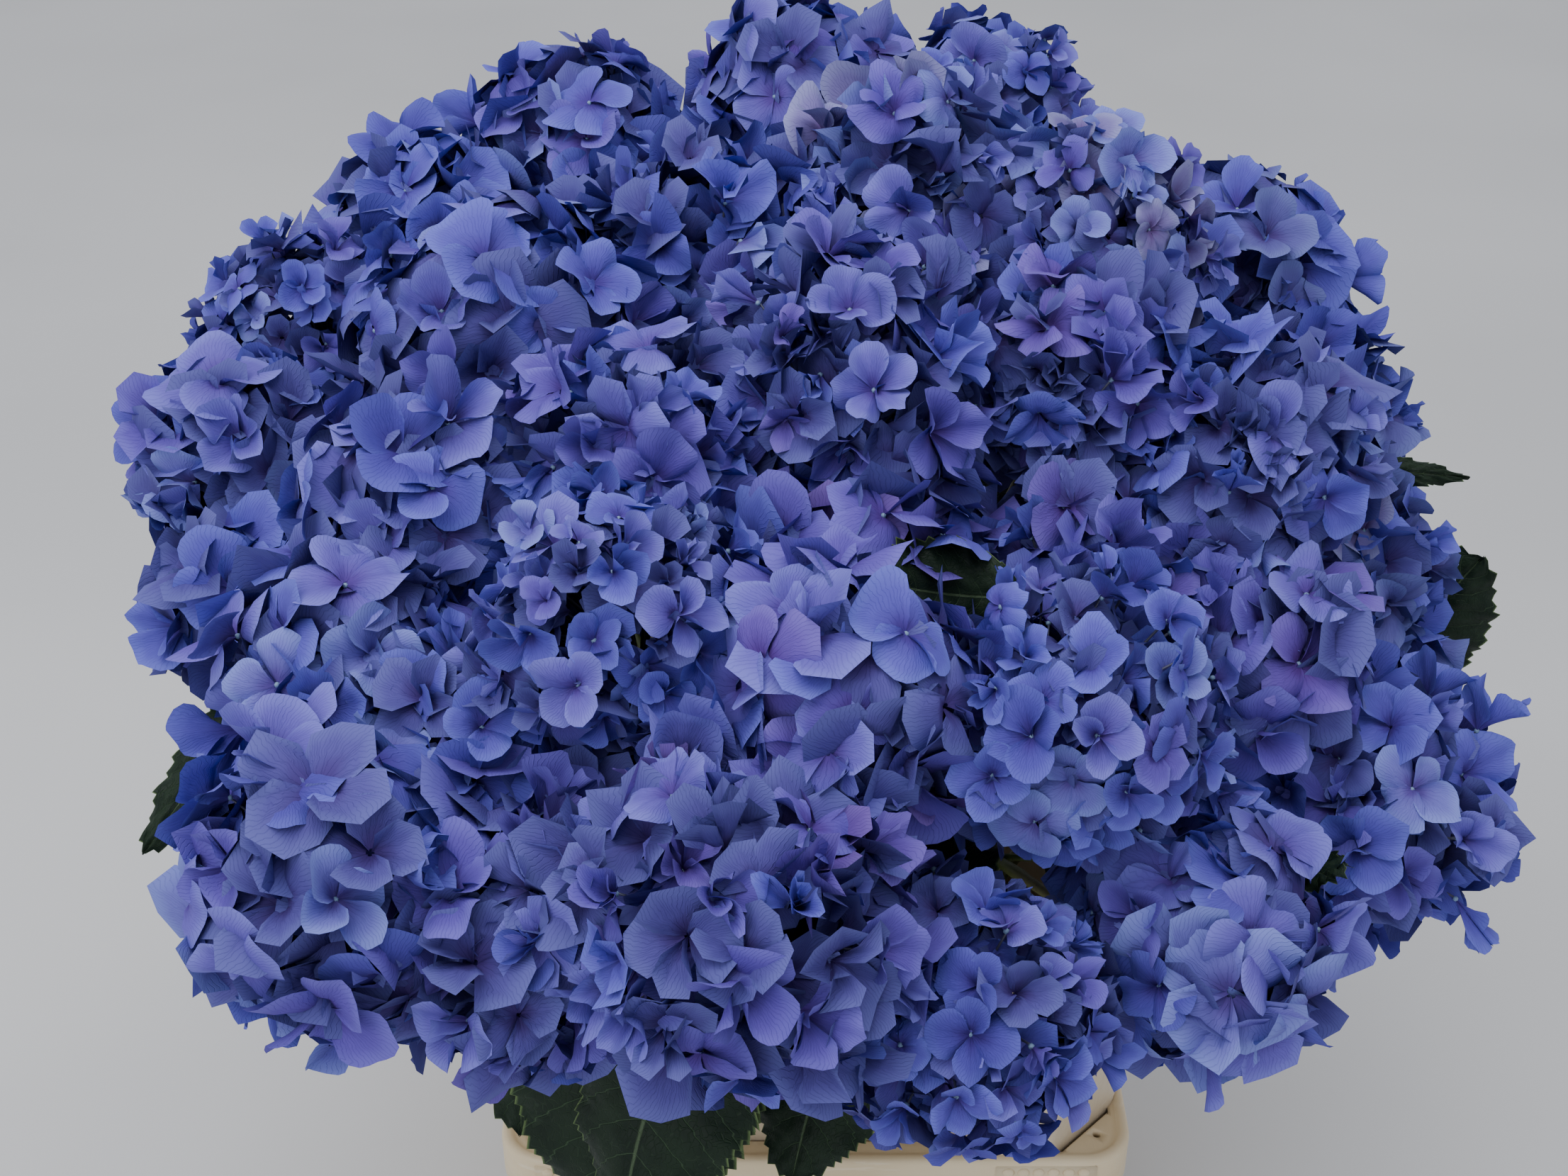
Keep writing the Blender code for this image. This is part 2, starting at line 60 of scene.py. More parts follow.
# --- Floor and light ---------------------------------------------------------------
# A plain pale floor of painted board, lit by one wide soft lamp overhead, a weaker one
# from the front left and an even pale sky.
class Wire:
    """A shader output that takes part in sums, so that a pattern reads as its formula."""

    def __init__(self, tree, socket):
        self.tree, self.socket = tree, socket

    def node(self, kind, output=0, settings=None, **inputs):
        made = self.tree.nodes.new("ShaderNode" + kind)
        for key, value in (settings or {}).items():
            setattr(made, key, value)
        for key, value in inputs.items():
            at = made.inputs[int(key[1:])] if key[0] == "i" and key[1:].isdigit() \
                else made.inputs[key.replace("_", " ")]
            if isinstance(value, Wire):
                self.tree.links.new(value.socket, at)
            else:
                at.default_value = value
        return Wire(self.tree, made.outputs[output])

    def maths(self, operation, *others):
        values = {f"i{i}": v for i, v in enumerate((self, *others))}
        return self.node("Math", 0, {"operation": operation}, **values)

    def __add__(self, other):
        return self.maths("ADD", other)

    def __sub__(self, other):
        return self.maths("SUBTRACT", other)

    def __mul__(self, other):
        return self.maths("MULTIPLY", other)

    def __truediv__(self, other):
        return self.maths("DIVIDE", other)

    __radd__, __rmul__ = __add__, __mul__

    def __rsub__(self, other):
        return self.node("Math", 0, {"operation": "SUBTRACT"}, i0=other, i1=self)

    def power(self, other):
        return self.maths("POWER", other)

    def size(self):
        return self.maths("ABSOLUTE")

    def part(self, axis):
        return self.node("SeparateXYZ", axis, i0=self)

    def stretched(self, scale, rotation=(0.0, 0.0, 0.0)):
        return self.node("Mapping", Vector=self, Scale=scale, Rotation=rotation)

    def noise(self, scale, detail=2.0):
        return self.node("TexNoise", Vector=self, Scale=scale, Detail=detail)

    def bump(self, distance, strength):
        return self.node("Bump", Height=self, Distance=distance, Strength=strength)

    def between(self, low, high, to_low=0.0, to_high=1.0):
        """Eases from to_low to to_high as the value goes from low to high."""
        return self.node("MapRange", 0, {"interpolation_type": "SMOOTHSTEP"}, i0=self, i1=low,
                         i2=high, i3=to_low, i4=to_high)

    def tint(self, colour_a, colour_b):
        """Mixes two colours by this value."""
        return self.node("Mix", 2, {"data_type": "RGBA"}, i0=self, i6=full(colour_a),
                         i7=full(colour_b))


def full(colour):
    return colour if isinstance(colour, Wire) else (*colour, 1.0)


def finish(name, roughness, specular=0.5):
    """A new material, its Principled shader and a Wire that starts at object coordinates."""
    mat = bpy.data.materials.new(name)
    mat.use_nodes = True
    shader = mat.node_tree.nodes["Principled BSDF"]
    shader.inputs["Roughness"].default_value = roughness
    shader.inputs["Specular IOR Level"].default_value = specular
    place = Wire(mat.node_tree, mat.node_tree.nodes.new("ShaderNodeTexCoord").outputs["Object"])
    return mat, shader, place


def connect(shader, **sockets):
    for key, wire in sockets.items():
        wire.tree.links.new(wire.socket, shader.inputs[key.replace("_", " ")])


floor_mat, shader, place = finish("floor_paint", 0.6)
connect(shader, Base_Color=place.noise(1.3, 3.0).between(0.3, 0.7).tint(
    (0.575, 0.578, 0.592), (0.635, 0.638, 0.652)))
floor_mesh = bpy.data.meshes.new("floor")
floor_mesh.from_pydata([(-9, -9, 0), (9, -9, 0), (9, 9, 0), (-9, 9, 0)], [], [(0, 1, 2, 3)])
floor_mesh.materials.append(floor_mat)
floor = linked("floor", floor_mesh)

world = bpy.data.worlds.new("sky")
world.use_nodes = True
world.node_tree.nodes["Background"].inputs["Color"].default_value = (0.93, 0.95, 1.0, 1.0)
world.node_tree.nodes["Background"].inputs["Strength"].default_value = 0.80
bpy.context.scene.world = world
for name, at, aim, size, watts in (("lamp_overhead", (-0.3, -0.35, 2.6), (0, 0, 0.4), 2.2, 42),
                                   ("lamp_front", (-1.6, -2.2, 1.9), (0, 0, 0.5), 1.8, 22)):
    lamp = linked(name, bpy.data.lights.new(name, "AREA"))
    lamp.data.size = size
    lamp.data.energy = watts
    lamp.location = at
    lamp.rotation_euler = (Vector(aim) - Vector(at)).to_track_quat("-Z", "Y").to_euler()


# --- Bucket ------------------------------------------------------------------------
# One cream injection-moulded shell: a tapering wall, a deep rim band, and a deck with a
# cut-out that the collar drops into. Corner panels carry raised round grip bumps.
BUCKET_H = 0.200
RIM = (0.200, 0.150)
BAND_H = 0.035
WALL_TOP = (0.192, 0.143)
WALL_FOOT = (0.168, 0.121)
WALL = 0.003
CORNER_R = 0.030
DECK = (0.188, 0.196)
COLLAR_FLARE, RECESS, FILLET = 0.018, 0.017, 0.0035


def rounded_outline(half_x, half_y, radius, steps=12):
    points = []
    for corner, (sx, sy) in enumerate(((1, 1), (-1, 1), (-1, -1), (1, -1))):
        for i in range(steps + 1):
            a = math.radians(90 * (corner + i / steps))
            points.append((sx * (half_x - radius) + radius * math.cos(a),
                           sy * (half_y - radius) + radius * math.sin(a)))
    return points


def filleted(outline, radius, steps=4):
    """The same outline with each corner rounded off."""
    points = []
    for i in range(len(outline)):
        before, here, after = (Vector(outline[j % len(outline)]) for j in (i - 1, i, i + 1))
        a = here + (before - here).normalized() * min(radius, (before - here).length * 0.45)
        b = here + (after - here).normalized() * min(radius, (after - here).length * 0.45)
        for k in range(steps + 1):
            t = k / steps
            points.append(tuple(a * (1 - t) ** 2 + here * 2 * t * (1 - t) + b * t * t))
    return points


def cast(outline):
    """Where rays from the middle meet the outline, one for each angle of AROUND."""
    a = np.array(outline)
    b = np.roll(a, -1, axis=0)
    ray = np.stack([np.cos(AROUND), np.sin(AROUND)], 1)
    edge = b - a
    cross = ray[:, None, 0] * edge[None, :, 1] - ray[:, None, 1] * edge[None, :, 0]
    safe = np.where(np.abs(cross) < 1e-12, 1e-12, cross)
    reach = (a[None, :, 0] * edge[None, :, 1] - a[None, :, 1] * edge[None, :, 0]) / safe
    along = (a[None, :, 0] * ray[:, None, 1] - a[None, :, 1] * ray[:, None, 0]) / safe
    good = (along >= -1e-6) & (along <= 1 + 1e-6) & (reach > 0)
    return ray * np.where(good, reach, 9).min(1)[:, None]


def shell(rings, close=True):
    """Vertices and quads of rings joined in order, each ring an (n, 2) array and a height;
    with close the last ring joins the first."""
    verts = np.concatenate([np.column_stack([ring, np.full(len(ring), z)]) for ring, z in rings])
    n, count = len(AROUND), len(rings)
    i = np.arange(n)
    faces = []
    for k in range(count if close else count - 1):
        low, high = k * n, (k + 1) % count * n
        faces.append(np.stack([low + i, low + (i + 1) % n, high + (i + 1) % n, high + i], 1))
    return verts, np.concatenate(faces)


def settle(name, mesh, replaces=(), mat=None):
    """An object of the mesh that rides on the root body, with one finish if it is given."""
    if mat:
        mesh.materials.clear()
        mesh.materials.append(mat)
        mesh.shade_smooth()
    obj = linked(name, mesh)
    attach(obj, "root")
    if replaces:
        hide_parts(*replaces)


def evaluated(obj):
    """The plain mesh that an object's modifiers make; the object goes."""
    bpy.context.view_layer.update()
    mesh = bpy.data.meshes.new_from_object(obj.evaluated_get(bpy.context.evaluated_depsgraph_get()))
    bpy.data.objects.remove(obj, do_unlink=True)
    return mesh


def taken(name, bm):
    """The mesh of a bmesh, which is freed."""
    mesh = bpy.data.meshes.new(name)
    bm.to_mesh(mesh)
    bm.free()
    return mesh


def cut_out(verts, faces, cutters):
    """A mesh with prisms cut from it; a cutter is an outline, an axis and a range on it."""
    mesh = bpy.data.meshes.new("body")
    mesh.from_pydata([tuple(v) for v in verts], [], [tuple(f) for f in faces])
    body = linked("body", mesh)
    bm = bmesh.new()
    for outline, axis, low, high in cutters:
        ends = []
        for depth in (low, high):
            ends.append([bm.verts.new((p[0], p[1], depth) if axis == 2 else (p[0], depth, p[1]))
                         for p in outline])
        bm.faces.new(ends[0])
        bm.faces.new(ends[1][::-1])
        for i in range(len(outline)):
            j = (i + 1) % len(outline)
            bm.faces.new((ends[0][j], ends[0][i], ends[1][i], ends[1][j]))
    bmesh.ops.recalc_face_normals(bm, faces=bm.faces)
    tool = linked("cutters", taken("cutters", bm))
    cut = body.modifiers.new("cut", "BOOLEAN")
    cut.operation = "DIFFERENCE"
    cut.solver = "EXACT"
    cut.object = tool
    mesh = evaluated(body)
    bpy.data.objects.remove(tool, do_unlink=True)
    return mesh


def collar_outline(grow):
    """Chamfered rectangle whose two long sides are set back in the middle."""
    hx, hy = 0.1935 + grow, 0.1450 + grow
    cut, inner, slope = 0.048, 0.092, 0.006
    quarter = [(hx, hy - cut), (hx - cut, hy), (inner + slope, hy), (inner, hy - RECESS)]
    top = quarter + [(-x, y) for x, y in reversed(quarter)]
    return top + [(-x, -y) for x, y in top]


corners = [math.atan2(y, x) % (2 * math.pi) for flare in (0.0, COLLAR_FLARE)
           for x, y in filleted(collar_outline(flare), FILLET)]
AROUND = np.unique(np.round(np.concatenate(
    [np.linspace(0, 2 * math.pi, 300, endpoint=False), corners]), 4))


def rim_ring(inset, radius=CORNER_R):
    return cast(rounded_outline(RIM[0] - inset, RIM[1] - inset, max(radius - inset, 0.004)))


def wall_ring(share, inset=0.0):
    half = [a + (b - a) * share - inset for a, b in zip(WALL_FOOT, WALL_TOP)]
    return cast(rounded_outline(*half, CORNER_R - inset))


band_foot = BUCKET_H - BAND_H
opening = cast(filleted(collar_outline(0.0014), FILLET))
rings = [(wall_ring(0, 0.0042), 0.0), (wall_ring(0, 0.0016), 0.0006),
         (wall_ring(0, 0.0003), 0.0022), (wall_ring(0), 0.0042)]
rings += [(wall_ring(k / 8), 0.004 + (band_foot - 0.006) * k / 8) for k in range(1, 9)]
rings += [(rim_ring(0.0016), band_foot + 0.0002), (rim_ring(0.0004), band_foot + 0.0010),
          (rim_ring(0.0), band_foot + 0.0026), (rim_ring(0.0), BUCKET_H - 0.0048),
          (rim_ring(0.0005), BUCKET_H - 0.0022), (rim_ring(0.0018), BUCKET_H - 0.0006),
          (rim_ring(0.0036), BUCKET_H), (rim_ring(0.0062), BUCKET_H - 0.0004),
          (rim_ring(0.0080), BUCKET_H - 0.0026), (rim_ring(0.0094), DECK[1] + 0.0004),
          (rim_ring(0.0115), DECK[1]), (opening * 1.006, DECK[1]),
          (opening * 1.001, DECK[1] - 0.0006), (opening, DECK[1] - 0.0022),
          (opening, DECK[0]), (rim_ring(WALL + 0.001), DECK[0]),
          (rim_ring(WALL), band_foot + WALL), (wall_ring(1, WALL), band_foot + WALL - 0.001),
          (wall_ring(0, WALL), WALL)]
verts, faces = shell(rings, close=False)
n = len(AROUND)
top = (len(rings) - 1) * n
verts = np.concatenate([verts, [(0, 0, 0), (0, 0, WALL)]])
faces = faces.tolist()
faces += [((k + 1) % n, k, len(verts) - 2) for k in range(n)]
faces += [(top + k, top + (k + 1) % n, len(verts) - 1) for k in range(n)]


def cream_finish(name, base, dark, worn, scale):
    mat, shader, place = finish(name, 0.42)
    cloud = place.noise(9.0 * scale, 4.0)
    grain = place.noise(420.0)
    smear = place.stretched((6.0, 6.0, 60.0)).noise(6.0, 5.0)
    stain = place.noise(26.0, 6.0)
    colour = cloud.between(0.35, 0.68).tint(base, dark)
    colour = (smear.between(0.60, 0.72) * 0.45).tint(colour, worn)
    colour = (stain.between(0.70, 0.78) * 0.55).tint(colour, (0.30, 0.20, 0.12))
    scuff = place.stretched((90.0, 14.0, 14.0), (0.3, 0.5, 0.4)).noise(5.0, 6.0)
    connect(shader, Base_Color=colour, Roughness=scuff.between(0.45, 0.70, 0.36, 0.58),
            Normal=(grain * 0.3 + scuff).bump(0.0004, 0.35))
    return mat


cream = cream_finish("bucket_cream", (0.78, 0.66, 0.45), (0.69, 0.56, 0.36),
                     (0.82, 0.74, 0.58), 1.0)


def oval(x, y, half_x, half_y, steps=16):
    turns = [2 * math.pi * k / steps for k in range(steps)]
    return [(x + half_x * math.cos(a), y + half_y * math.sin(a)) for a in turns]


DRAIN, DRAIN_R = (0.179, 0.124), 0.0030
holes = [(oval(sx * DRAIN[0], sy * DRAIN[1], DRAIN_R, DRAIN_R), 2, 0.180, 0.204)
         for sx in (1, -1) for sy in (1, -1)]
settle("bucket_shell", cut_out(verts, faces, holes), ["bucket"], cream)


def bump_field(columns, rows, pitch, radius, height, mat):
    """A field of raised round bumps on the XZ plane that look towards -Y."""
    tree = bpy.data.node_groups.new("grip_bumps", "GeometryNodeTree")
    values = {"Columns": columns, "Rows": rows, "Pitch": pitch, "Radius": radius, "Height": height}
    for key, value in values.items():
        kind = "NodeSocketInt" if isinstance(value, int) else "NodeSocketFloat"
        tree.interface.new_socket(key, in_out="INPUT", socket_type=kind)
    tree.interface.new_socket("Mesh", in_out="OUTPUT", socket_type="NodeSocketGeometry")
    add, link = tree.nodes.new, tree.links.new
    given, out = add("NodeGroupInput"), add("NodeGroupOutput")

    def sum_of(operation, a, b):
        node = add("ShaderNodeMath")
        node.operation = operation
        for socket, value in zip(node.inputs, (a, b)):
            if isinstance(value, (int, float)):
                socket.default_value = value
            else:
                link(value, socket)
        return node.outputs[0]

    grid = add("GeometryNodeMeshGrid")
    for axis, key in (("X", "Columns"), ("Y", "Rows")):
        gaps = sum_of("SUBTRACT", given.outputs[key], 1)
        link(sum_of("MULTIPLY", gaps, given.outputs["Pitch"]), grid.inputs["Size " + axis])
        link(given.outputs[key], grid.inputs["Vertices " + axis])
    dome = add("GeometryNodeMeshUVSphere")
    dome.inputs["Segments"].default_value = 16
    dome.inputs["Rings"].default_value = 10
    link(given.outputs["Radius"], dome.inputs["Radius"])
    flat = add("ShaderNodeCombineXYZ")
    flat.inputs["X"].default_value = flat.inputs["Y"].default_value = 1.0
    link(sum_of("DIVIDE", given.outputs["Height"], given.outputs["Radius"]), flat.inputs["Z"])
    spread = add("GeometryNodeInstanceOnPoints")
    link(grid.outputs["Mesh"], spread.inputs["Points"])
    link(dome.outputs["Mesh"], spread.inputs["Instance"])
    link(flat.outputs[0], spread.inputs["Scale"])
    upright = add("GeometryNodeTransform")
    upright.inputs["Rotation"].default_value = (math.pi / 2, 0, 0)
    real, paint = add("GeometryNodeRealizeInstances"), add("GeometryNodeSetMaterial")
    paint.inputs["Material"].default_value = mat
    chain = (spread, upright, real, paint, out)
    for before, after in zip(chain, chain[1:]):
        link(before.outputs[0], after.inputs[0])

    holder = linked("bumps", bpy.data.meshes.new("bumps"))
    maker = holder.modifiers.new("bumps", "NODES")
    maker.node_group = tree
    for item in tree.interface.items_tree:
        if item.in_out == "INPUT":
            maker[item.identifier] = values[item.name]
    return evaluated(holder)


GRIP_X, GRIP_SIZE = 0.1443, (0.064, 0.0030, 0.0290)
field = bump_field(6, 3, 0.0095, 0.0037, 0.0021, cream)
bumps, panels = bmesh.new(), bmesh.new()
for side in (1, -1):
    for along in (1, -1):
        part = bmesh.new()
        part.from_mesh(field)
        bmesh.ops.translate(part, verts=part.verts, vec=(along * GRIP_X, -RIM[1] - 0.0009, 0.1815))
        slab = bmesh.ops.create_cube(panels, size=1.0)["verts"]
        bmesh.ops.scale(panels, verts=slab, vec=GRIP_SIZE)
        bmesh.ops.translate(panels, verts=slab,
                            vec=(along * GRIP_X, side * (-RIM[1] + 0.0006), 0.1810))
        if side < 0:
            bmesh.ops.rotate(part, verts=part.verts, matrix=Matrix.Rotation(math.pi, 3, "Z"))
        bumps.from_mesh(taken("held", part))
bmesh.ops.bevel(panels, geom=panels.edges[:], offset=0.0007, segments=2, affect="EDGES")
for name, shape in (("grip_bumps", bumps), ("grip_panels", panels)):
    settle(name, taken(name, shape), mat=cream)


# --- Collar ------------------------------------------------------------------------
# A taller beige sleeve that stands in the deck and holds the bunch upright. Its corners
# are chamfered, its long sides are set back in the middle and have a hand hole each.
COLLAR_TOP, COLLAR_WALL = 0.400, 0.0025
HAND_HOLE = (0.066, 0.237, 0.297)       # half its length, its foot and its top
SLOTS, SLOT_Z, SLOT = (-0.1255, -0.1130, 0.1130, 0.1255), 0.2120, (0.0048, 0.0014)
foot = BUCKET_H - BAND_H + WALL + 0.0003


def collar_ring(z, inset=0.0):
    flare = COLLAR_FLARE * max(0.0, (z - BUCKET_H) / (COLLAR_TOP - BUCKET_H))
    return cast(filleted(collar_outline(flare), FILLET)) * (1 - inset / 0.17)


levels = [foot, BUCKET_H] + list(np.linspace(BUCKET_H, COLLAR_TOP - 0.003, 9)[1:])
rings = [(collar_ring(z), z) for z in levels]
rings += [(collar_ring(COLLAR_TOP, 0.0003), COLLAR_TOP - 0.0008),
          (collar_ring(COLLAR_TOP, 0.0012), COLLAR_TOP),
          (collar_ring(COLLAR_TOP, 0.0021), COLLAR_TOP - 0.0006),
          (collar_ring(COLLAR_TOP, COLLAR_WALL), COLLAR_TOP - 0.0020)]
rings += [(collar_ring(z, COLLAR_WALL), z) for z in reversed(levels)]
verts, faces = shell(rings)
half, low, high = HAND_HOLE
mid = (low + high) / 2
window = rounded_outline(half, (high - low) / 2, 0.012, steps=6)
cutters = [([(x, z + mid) for x, z in window], 1, -0.2, 0.2)]
cutters += [(oval(x, SLOT_Z, *SLOT), 1, -0.2, 0.2) for x in SLOTS]
beige = cream_finish("collar_beige", (0.60, 0.51, 0.38), (0.50, 0.41, 0.30),
                     (0.68, 0.61, 0.50), 0.8)
settle("collar_sleeve", cut_out(verts, faces, cutters), ["collar"], beige)


# --- Stems -------------------------------------------------------------------------
# Green cut stems that stand on the bucket's floor, lean out over the collar's edge and
# turn up into a bloom each; some fork once. They are round and swell at each joint.
BLOOMS = {  # across, depth, height of the middle, radius
    "front_left": (-0.225, -0.300, 0.562, 0.075),
    "front_in_left": (-0.140, -0.310, 0.545, 0.066),
    "front_mid": (-0.042, -0.348, 0.581, 0.074),
    "front_mid_right": (0.062, -0.335, 0.515, 0.068),
    "front_right": (0.180, -0.270, 0.502, 0.067),
    "right_low": (0.288, -0.150, 0.488, 0.080),
    "left_mid": (-0.233, -0.190, 0.600, 0.069),
    "mid_left": (-0.094, -0.225, 0.653, 0.069),
    "mid_centre": (0.006, -0.260, 0.636, 0.066),
    "mid_right": (0.108, -0.240, 0.613, 0.078),
    "right_in": (0.218, -0.150, 0.578, 0.061),
    "left_low": (-0.299, -0.090, 0.579, 0.052),
    "inner_left": (-0.206, -0.112, 0.648, 0.063),
    "inner_mid": (-0.100, -0.100, 0.661, 0.068),
    "top_mid_front": (0.018, -0.060, 0.690, 0.077),
    "inner_right": (0.217, -0.070, 0.650, 0.067),
    "right_mid": (0.288, -0.035, 0.547, 0.063),
    "left_up": (-0.324, -0.010, 0.625, 0.057),
    "left_top": (-0.296, 0.065, 0.664, 0.060),
    "top_left": (-0.181, 0.010, 0.689, 0.082),
    "top_mid_back": (0.056, 0.080, 0.725, 0.081),
    "top_mid_right": (0.133, -0.045, 0.684, 0.063),
    "filler": (0.155, 0.055, 0.728, 0.061),
    "right_up": (0.286, 0.080, 0.602, 0.057),
    "top_right": (0.254, 0.145, 0.656, 0.070),
    "back_left_low": (-0.238, 0.145, 0.693, 0.053),
    "back_left": (-0.146, 0.200, 0.714, 0.072),
    "back_mid": (-0.009, 0.215, 0.751, 0.061),
    "back_right": (0.104, 0.205, 0.737, 0.069),
    "deep_left": (-0.165, -0.218, 0.580, 0.066),
    "deep_mid": (0.022, -0.165, 0.620, 0.070),
    "deep_right": (0.136, -0.125, 0.598, 0.066),
    "deep_back": (-0.062, 0.085, 0.698, 0.070),
    "rear_left": (-0.215, 0.275, 0.590, 0.082),
    "rear_mid": (-0.010, 0.310, 0.610, 0.085),
    "rear_right": (0.195, 0.275, 0.585, 0.084),
}
FORKS = {"left_mid": "inner_left", "left_up": "left_low", "inner_right": "right_in",
         "mid_left": "inner_mid", "back_mid": "rear_mid",
         "top_mid_front": "top_mid_right", "front_left": "deep_left",
         "mid_centre": "deep_mid", "mid_right": "deep_right", "top_mid_back": "deep_back",
         "right_low": "right_mid", "back_left": "back_left_low", "back_right": "filler",
         "top_left": "left_top"}
SEAT, GAP = 0.90, 0.0003
STEM_FOOT_R, STEM_TIP_R = 0.0040, 0.0028
FOOT_SPREAD, EXIT_SPREAD, EXIT_Z = (0.40, 0.28), (0.50, 0.33), 0.408
STRAIGHT_END = 0.006
SIDES = 9


def over_edge(name):
    """Where a bloom's stem passes over the collar's edge."""
    x, y, *_ = BLOOMS[name]
    return Vector((x * EXIT_SPREAD[0], y * EXIT_SPREAD[1], EXIT_Z))


def stem_axis(name):
    """Unit vector from a bloom's middle to where its stem comes in."""
    inward = (over_edge(name) - Vector(BLOOMS[name][:3])).normalized()
    return (inward * 0.75 + Vector((0, 0, -1)) * 0.45).normalized()


def seat(name):
    """A stem's tip on its bloom, the neck from which it runs straight, and its axis."""
    axis = stem_axis(name)
    tip = Vector(BLOOMS[name][:3]) + axis * (BLOOMS[name][3] * SEAT + GAP)
    return tip, tip + axis * STRAIGHT_END, axis


def hermite(p0, p1, t0, t1, u):
    a, b = u * u, u * u * u
    return (p0 * (2 * b - 3 * a + 1) + t0 * (b - 2 * a + u)
            + p1 * (3 * a - 2 * b) + t1 * (b - a))


def stem_path(name):
    """Points from the bucket's floor, past the collar's edge, to the bloom's seat."""
    x, y, *_ = BLOOMS[name]
    tip, neck, axis = seat(name)
    foot = Vector((x * FOOT_SPREAD[0], y * FOOT_SPREAD[1], WALL + GAP))
    edge = over_edge(name)
    along = ((edge - foot).normalized() + (tip - edge).normalized()).normalized()
    low, high = (edge - foot).length, (tip - edge).length
    base = foot + Vector((0, 0, STRAIGHT_END))
    points = [foot]
    points += [hermite(base, edge, Vector((0, 0, low)), along * low, i / 3) for i in range(3)]
    points += [hermite(edge, neck, along * high, -axis * high, i / 2) for i in range(3)]
    return points + [tip]


def finer(points, per):
    """Each straight run split into equal lengths, then eased once so that it bends."""
    out = [a.lerp(b, k / per) for a, b in zip(points, points[1:]) for k in range(per)]
    out.append(points[-1])
    return [out[0]] + [(a + b * 2 + c) / 4 for a, b, c in zip(out, out[1:], out[2:])] + [out[-1]]


def point_along(points, share):
    place = share * (len(points) - 1)
    i = min(int(place), len(points) - 2)
    return points[i].lerp(points[i + 1], place - i)


def branch_path(parent, child):
    """A side branch from the parent's stem to the child bloom's seat."""
    tip, neck, axis = seat(child)
    path = stem_path(parent)
    start = point_along(path, 0.50)
    rise = point_along(path, 0.62) - start
    reach = (tip - start).length
    return [hermite(start, neck, rise.normalized() * reach * 0.8, -axis * reach, i / 4)
            for i in range(5)] + [tip]


class Heap:
    """Gathers vertices, faces, map places and slots of many like forms into one piece."""

    def __init__(self):
        self.verts, self.faces, self.uv, self.slots, self.count = [], [], [], [], 0

    def add(self, verts, faces, uv=None, slot=0):
        self.verts.append(verts)
        self.faces.append(np.asarray(faces) + self.count)
        self.uv += [uv] if uv is not None else []
        self.slots.append(np.full(len(faces), slot))
        self.count += len(verts)

    def piece(self, name, mats, slot, replaces=()):
        mesh = bpy.data.meshes.new(name)
        for mat in mats:
            mesh.materials.append(mat)
        faces = np.concatenate(self.faces).astype(np.int32)
        count, sides = faces.shape
        mesh.vertices.add(self.count)
        mesh.vertices.foreach_set("co", np.concatenate(self.verts).astype(np.float32).ravel())
        mesh.loops.add(faces.size)
        mesh.loops.foreach_set("vertex_index", faces.ravel())
        mesh.polygons.add(count)
        mesh.polygons.foreach_set("loop_start", np.arange(0, faces.size, sides, dtype=np.int32))
        mesh.polygons.foreach_set("loop_total", np.full(count, sides, np.int32))
        mesh.polygons.foreach_set("material_index", np.concatenate(self.slots).astype(np.int32))
        if self.uv:
            uv = np.concatenate(self.uv).astype(np.float32)[faces.ravel()]
            mesh.uv_layers.new(name="OFBake").data.foreach_set("uv", uv.ravel())
        mesh.update(calc_edges=True)
        mesh.validate()
        mesh.shade_smooth()
        settle(name, mesh, replaces)


def grid_faces(rows, columns, wrap=False):
    """Quads of a grid of vertices in rows."""
    i, j = np.meshgrid(np.arange(rows - 1), np.arange(columns if wrap else columns - 1),
                       indexing="ij")
    i, j = i.ravel(), j.ravel()
    k = (j + 1) % columns
    return np.stack([i * columns + j, i * columns + k, (i + 1) * columns + k,
                     (i + 1) * columns + j], 1)


def unit(v):
    """A vector, or each row of an array, at length one."""
    return v / (np.linalg.norm(v, axis=1)[:, None] if v.ndim == 2 else np.linalg.norm(v))


def rod(points, radii, sides):
    """Rings round a path, as vertices and quads; both ends close to a point."""
    p = np.array([tuple(q) for q in points])
    ahead = unit(np.gradient(p, axis=0))
    side = unit(np.cross(ahead, (0.31, 0.95, 0.02) if abs(ahead[0][1]) < 0.9 else (1, 0, 0)))
    other = np.cross(ahead, side)
    a = np.linspace(0, 2 * math.pi, sides, endpoint=False)
    radii = np.asarray(radii).reshape(len(p), -1)
    ring = (p[:, None] + (side[:, None] * np.cos(a)[None, :, None]
                          + other[:, None] * np.sin(a)[None, :, None]) * radii[:, :, None])
    ring = np.concatenate([np.repeat(p[:1, None], sides, 1), ring,
                           np.repeat(p[-1:, None], sides, 1)])
    return ring.reshape(-1, 3), grid_faces(len(p) + 2, sides, wrap=True)


stem_mat, shader, place = finish("stem_rind", 0.5)
streak = place.stretched((1.0, 1.0, 0.08)).noise(320.0, 3.0)
patch = place.noise(22.0, 4.0)
pores = place.node("TexVoronoi", Vector=place, Scale=260.0)
green = patch.between(0.35, 0.70).tint((0.075, 0.120, 0.030), (0.115, 0.105, 0.040))
green = (pores.between(0.10, 0.20, 1.0, 0.0) * 0.7).tint(green, (0.05, 0.030, 0.020))
connect(shader, Base_Color=green,
        Normal=(streak - pores.between(0.08, 0.2, 0.6, 0.0)).bump(0.0006, 0.6))


